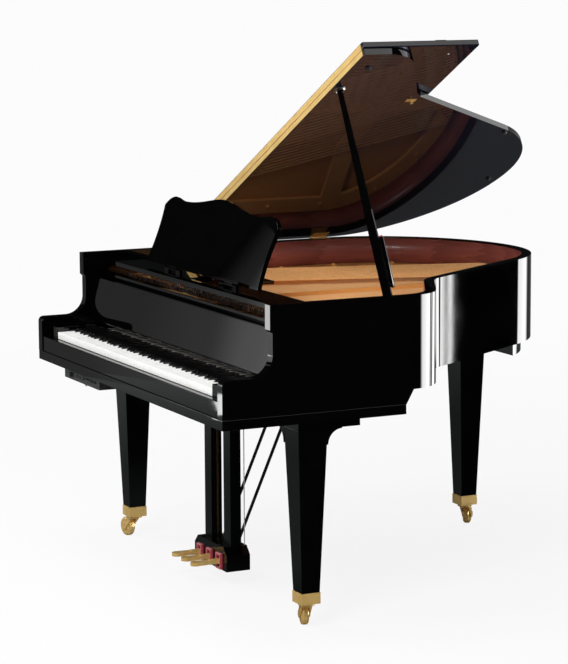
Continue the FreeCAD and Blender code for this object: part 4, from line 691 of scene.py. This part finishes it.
def prop_socket(build):
    tip = NODES["lid_prop"].data
    high = max(corner.co.dot(-LID_BELOW) for corner in tip.vertices)
    top = [corner.co for corner in tip.vertices if corner.co.dot(-LID_BELOW) > high - 0.001]
    middle = sum(top, Vector()) / len(top)
    from_hinge = (middle - HINGE).dot(LID_ALONG)
    seat = lid_spot(from_hinge, middle.y - CASE_FRONT, -0.0002)
    place = Matrix.Translation(seat) @ frame_along(LID_BELOW)
    profile = ((0.0105, 0.0), (0.0105, 0.0045), (0.0122, 0.0062), (0.0150, 0.0058), (0.0172, 0.0022),
               (0.0195, 0.0012), (0.0195, 0.0))
    sides, rings = 28, []
    for radius, height in profile:
        turns = [2 * math.pi * step / sides for step in range(sides)]
        spots = [Vector((radius * math.cos(turn), radius * math.sin(turn), height)) for turn in turns]
        rings.append([build.verts.new(place @ spot) for spot in spots])
    for low, high_ring in zip(rings, rings[1:] + rings[:1]):
        for step in range(sides):
            following = (step + 1) % sides
            build.faces.new((low[step], low[following], high_ring[following], high_ring[step]))


def flap_block(build):
    axes = (LID_ALONG, LID_LINE, -LID_BELOW)
    centre = lid_spot(*FLAP_BLOCK_PLACE, -FLAP_FACE - 0.0055)
    chamfered_block(build, centre, (0.024, 0.040, 0.012), axes, 0.0038)


def flap_bumper(build):
    profile = ((0.0032, -0.0002), (0.0032, 0.002), (0.0026, 0.0034), (0.0011, 0.004), (0.0003, 0.0041))
    turn_profile(build, profile, lid_spot(*FLAP_BUMPER_PLACE, -FLAP_FACE + LID_THICK), LID_BELOW, 16)


new_piece("lid_bumpers", lid_bumpers, RUBBER, "lid")
new_piece("lid_lock_plate", lock_plate, BRASS, "lid")
new_piece("lid_prop_socket", prop_socket, PIN_STEEL, "lid")
new_piece("flap_rest_block", flap_block, LACQUER, "flap")
new_piece("flap_bumper", flap_bumper, PALE_RUBBER, "flap")


# Red felt on the short prop's end
FELT_THICK = 0.0044


def prop_felt(build):
    corners = [corner.co for corner in NODES["lid_prop_short"].data.vertices]
    stand = -LID_BELOW
    high = max(corner.dot(stand) for corner in corners)
    top = [corner for corner in corners if corner.dot(stand) > high - 0.0005]
    middle = sum(top, Vector()) / len(top)
    reach = max(top, key=lambda corner: (corner - middle).length) - middle
    other = stand.cross(reach.normalized())
    side = (reach.normalized() + other).normalized()
    cross = stand.cross(side)
    half = reach.length / math.sqrt(2)
    size = (half * 1.6, half * 1.2, FELT_THICK)
    chamfered_block(build, middle + stand * FELT_THICK / 2, size, (side, cross, stand), 0.0014)


new_piece("short_prop_felt", prop_felt, RED_FELT, "short_prop")


# Control unit: buttons, lamp window and hanger
UNIT_LOW, UNIT_HIGH = (Vector(corner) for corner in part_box("control_unit"))
BUTTON_COUNT, BUTTON_START, BUTTON_PITCH = 5, 0.185, 0.020
WINDOW_START, HANGER_START, HANGER_DEPTH = 0.160, 0.115, 0.030


def unit_buttons(build):
    face = UNIT_LOW.y
    middle = (UNIT_LOW.z + UNIT_HIGH.z) / 2
    axes = ((1, 0, 0), (0, 0, 1), (0, -1, 0))
    for step in range(BUTTON_COUNT):
        x = UNIT_LOW.x + BUTTON_START + step * BUTTON_PITCH
        chamfered_block(build, (x, face - 0.0006, middle + 0.003), (0.012, 0.006, 0.003), axes, 0.001)


def unit_window(build):
    axes = ((1, 0, 0), (0, 0, 1), (0, -1, 0))
    middle = (UNIT_LOW.z + UNIT_HIGH.z) / 2
    centre = (UNIT_LOW.x + WINDOW_START, UNIT_LOW.y - 0.0002, middle + 0.002)
    chamfered_block(build, centre, (0.014, 0.010, 0.0016), axes, 0.0005)


def unit_hanger(build):
    drop, half = 0.016, 0.013
    centre = Vector((UNIT_LOW.x + HANGER_START, UNIT_LOW.y + HANGER_DEPTH, UNIT_LOW.z))
    points = [centre + Vector((-half, 0.0, 0.001)), centre + Vector((-half, 0.0, -0.004))]
    for step in range(13):
        turn = math.pi * (1 + step / 12)
        points.append(centre + Vector((half * math.cos(turn), 0.0, -0.004 + (drop - 0.004) * math.sin(turn))))
    points.append(centre + Vector((half, 0.0, 0.001)))
    bar_along(build, points, 0.0016)


new_piece("unit_buttons", unit_buttons, RUBBER, "case")
new_piece("unit_window", unit_window, ENAMEL, "case")
new_piece("unit_hanger", unit_hanger, WIRE_PAINTED_PLATE_GOLD, "case")


# Studio: pale floor, bright backdrop to the camera, dark room with tall soft cards in the polish
PAPER, ROOM_TINT = (0.975, 0.97, 0.975, 1.0), (0.93, 1.0, 1.0, 1.0)
FLOOR_RADIUS, ROOM_GLOW, AIR_GLOW = 40.0, 0.008, 0.4


def make_floor():
    mesh = bpy.data.meshes.new("studio_floor")
    build = bmesh.new()
    bmesh.ops.create_circle(build, cap_ends=True, radius=FLOOR_RADIUS, segments=64)
    build.to_mesh(mesh)
    build.free()
    floor = bpy.data.objects.new("studio_floor", mesh)
    bpy.context.scene.collection.objects.link(floor)
    finish = bpy.data.materials.new("pale_floor")
    finish.use_nodes = True
    tree = finish.node_tree
    tree.nodes.clear()
    out = add(tree, "ShaderNodeOutputMaterial")
    path = add(tree, "ShaderNodeLightPath")
    paper = add(tree, "ShaderNodeBsdfDiffuse")
    feed(tree, paper, Color=(0.8, 0.8, 0.8, 1.0))
    white = add(tree, "ShaderNodeEmission")
    feed(tree, white, Color=PAPER, Strength=1.0)
    where = add(tree, "ShaderNodeTexCoord").outputs["Object"]
    reach = add(tree, "ShaderNodeVectorMath", operation="LENGTH")
    tree.links.new(where, reach.inputs[0])
    bright = spread(tree, reach.outputs["Value"], 1.0, 5.0, 0.9, 1.0)
    seen = add(tree, "ShaderNodeMixShader")
    feed(tree, seen, _0=sums(tree, "MULTIPLY", path.outputs["Is Camera Ray"], bright),
         _1=paper.outputs[0], _2=white.outputs[0])
    place = add(tree, "ShaderNodeSeparateXYZ")
    tree.links.new(where, place.inputs[0])
    toward = sums(tree, "ADD", sums(tree, "MULTIPLY", place.outputs[0], -0.9),
                  sums(tree, "MULTIPLY", place.outputs[1], -0.42))
    near = spread(tree, toward, -0.3, 0.3, 0.012, 0.09)
    level = sums(tree, "ADD", near, spread(tree, toward, 1.8, 4.0, 0.0, 0.18))
    dim = add(tree, "ShaderNodeEmission")
    feed(tree, dim, Color=ROOM_TINT, Strength=level)
    mirrored = add(tree, "ShaderNodeMixShader")
    feed(tree, mirrored, _0=path.outputs["Is Glossy Ray"], _1=seen.outputs[0], _2=dim.outputs[0])
    tree.links.new(mirrored.outputs[0], out.inputs["Surface"])
    mesh.materials.append(finish)


def make_world():
    world = bpy.data.worlds.new("studio")
    bpy.context.scene.world = world
    world.use_nodes = True
    tree = world.node_tree
    tree.nodes.clear()
    out = add(tree, "ShaderNodeOutputWorld")
    path = add(tree, "ShaderNodeLightPath")
    backdrop = add(tree, "ShaderNodeBackground")
    feed(tree, backdrop, Color=PAPER, Strength=1.0)
    room = add(tree, "ShaderNodeBackground")
    feed(tree, room, Color=ROOM_TINT, Strength=ROOM_GLOW)
    air = add(tree, "ShaderNodeBackground")
    feed(tree, air, Color=(1.0, 1.0, 1.0, 1.0), Strength=AIR_GLOW)
    first = add(tree, "ShaderNodeMixShader")
    mirrored = sums(tree, "MAXIMUM", path.outputs["Is Glossy Ray"], path.outputs["Is Transmission Ray"])
    feed(tree, first, _0=mirrored, _1=air.outputs[0], _2=room.outputs[0])
    second = add(tree, "ShaderNodeMixShader")
    feed(tree, second, _0=path.outputs["Is Camera Ray"], _1=first.outputs[0], _2=backdrop.outputs[0])
    tree.links.new(second.outputs[0], out.inputs["Surface"])


def soft_light(name, place, aim, width, height, power):
    lamp = bpy.data.lights.new(name, "AREA")
    lamp.shape = "RECTANGLE"
    lamp.size = width
    lamp.size_y = height
    lamp.energy = power
    thing = bpy.data.objects.new(name, lamp)
    thing.location = place
    way = Vector(aim) - Vector(place)
    thing.rotation_euler = way.to_track_quat("-Z", "Y").to_euler()
    thing.visible_camera = False
    bpy.context.scene.collection.objects.link(thing)


def glow_card(name, corner, across, upward, steps):
    """A studio card seen in the polish alone; steps give its glow along the first side"""
    corner, across, upward = Vector(corner), Vector(across), Vector(upward)
    mesh = bpy.data.meshes.new(name)
    build = bmesh.new()
    outline = (corner, corner + across, corner + across + upward, corner + upward)
    build.faces.new([build.verts.new(spot) for spot in outline])
    build.to_mesh(mesh)
    build.free()
    card = bpy.data.objects.new(name, mesh)
    bpy.context.scene.collection.objects.link(card)
    card.visible_camera = False
    card.visible_diffuse = False
    card.visible_shadow = False
    finish = bpy.data.materials.new(name)
    finish.use_nodes = True
    tree = finish.node_tree
    tree.nodes.clear()
    out = add(tree, "ShaderNodeOutputMaterial")
    glow = add(tree, "ShaderNodeEmission")
    where = add(tree, "ShaderNodeTexCoord").outputs["Object"]
    along = add(tree, "ShaderNodeVectorMath", operation="DOT_PRODUCT")
    way = across / across.length_squared
    feed(tree, along, _0=where, _1=tuple(way))
    share = sums(tree, "SUBTRACT", along.outputs["Value"], corner.dot(way))
    curve = add(tree, "ShaderNodeValToRGB")
    curve.color_ramp.interpolation = "EASE"
    peak = max(level for _, level in steps)
    points = curve.color_ramp.elements
    while len(points) < len(steps):
        points.new(0.5)
    for point, (spot, level) in zip(points, steps):
        point.position = spot
        point.color = (level / peak, level / peak, level / peak, 1.0)
    tree.links.new(share, curve.inputs[0])
    tree.links.new(sums(tree, "MULTIPLY", curve.outputs[0], peak), glow.inputs["Strength"])
    tree.links.new(glow.outputs[0], out.inputs["Surface"])
    mesh.materials.append(finish)


make_floor()
make_world()
soft_light("key_light", (3.4, -3.6, 4.2), (0.0, 0.0, 0.8), 2.0, 2.0, 260.0)
soft_light("fill_light", (-2.6, -3.4, 3.6), (0.0, 0.0, 0.8), 2.0, 2.0, 90.0)
soft_light("top_light", (0.0, -1.2, 4.5), (0.0, -0.7, 0.7), 1.5, 1.5, 80.0)
CARD_BACK = 3.0
# Glow along x behind the tail: tail band, waist bands, bend band
glow_card("card_back", (-1.4, CARD_BACK, 0.0), (4.4, 0.0, 0.0), (0.0, 0.0, 1.3), (
    (0.0, 0.0), (0.125, 5.5), (0.277, 6.5), (0.297, 0.0), (0.359, 0.0), (0.362, 8.0), (0.3655, 8.0),
    (0.368, 0.6), (0.3705, 8.0), (0.387, 8.0), (0.391, 0.0), (0.42, 0.5), (0.50, 14.0), (0.82, 14.0),
    (0.97, 0.0)))
# Glow along y beside the bass front corner: the fallboard, key slip and arm fronts look at it
glow_card("card_side", (-2.8, -1.2, 0.15), (0.0, -2.1, 0.0), (0.0, 0.0, 1.2), (
    (0.0, 0.11), (0.22, 0.13), (0.40, 0.22), (0.50, 0.6), (0.60, 0.9), (0.66, 7.0), (0.72, 7.0), (0.80, 0.3),
    (1.0, 0.1)))
glow_card("card_high", (1.9, 0.6, 4.6), (1.4, 0.0, -1.4), (0.0, 2.2, 0.0), ((0.0, 2.6), (1.0, 2.6)))
# Small cards: the stile front, the arm front, the lid edge, the desk and the side of the prop look at them
glow_card("card_stile", (-2.79, -2.2, 0.31), (0.0, -0.15, 0.0), (0.0, 0.0, 0.14), ((0.0, 4.0), (1.0, 4.0)))
glow_card("card_arm", (-1.6, -1.795, 0.197), (0.0, -0.055, 0.0), (0.0, 0.0, 0.085), ((0.0, 5.8), (1.0, 5.8)))
glow_card("card_lid_edge", (-1.2, CARD_BACK, 1.6), (2.2, 0.0, 0.0), (0.0, 0.0, 0.9), ((0.0, 2.0), (1.0, 2.0)))
glow_card("card_desk", (-2.8, -1.75, 1.38), (0.0, -0.35, 0.0), (0.0, 0.0, 0.5), (
    (0.0, 0.0), (0.4, 0.1), (0.75, 0.5), (1.0, 0.6)))
glow_card("card_prop", (-1.8, 2.3, 0.95), (1.6, 0.6, 0.0), (0.0, 0.0, 0.9), ((0.0, 0.27), (1.0, 0.27)))


# Camera at the photograph's viewing angle
CAMERA_PLACE = Vector((7.03683, -3.62069, 1.93754))
CAMERA_YAW, CAMERA_PITCH, CAMERA_ROLL = math.radians(64.13), math.radians(-8.52), math.radians(-0.29)
CAMERA_LENS = 136.55


def make_camera():
    data = bpy.data.cameras.new("photo_camera")
    data.sensor_fit = "AUTO"
    data.sensor_width = 36.0
    data.lens = CAMERA_LENS
    data.clip_start = 0.1
    data.clip_end = 200.0
    camera = bpy.data.objects.new("photo_camera", data)
    level = math.cos(CAMERA_PITCH)
    ahead = Vector((-math.sin(CAMERA_YAW) * level, math.cos(CAMERA_YAW) * level, math.sin(CAMERA_PITCH)))
    side = Vector((math.cos(CAMERA_YAW), math.sin(CAMERA_YAW), 0.0))
    above = side.cross(ahead)
    right = side * math.cos(CAMERA_ROLL) + above * math.sin(CAMERA_ROLL)
    upward = above * math.cos(CAMERA_ROLL) - side * math.sin(CAMERA_ROLL)
    turn = Matrix((right, upward, -ahead)).transposed().to_4x4()
    camera.matrix_world = Matrix.Translation(CAMERA_PLACE) @ turn
    bpy.context.scene.collection.objects.link(camera)
    bpy.context.scene.camera = camera


make_camera()
bpy.context.scene.view_settings.view_transform = "Standard"
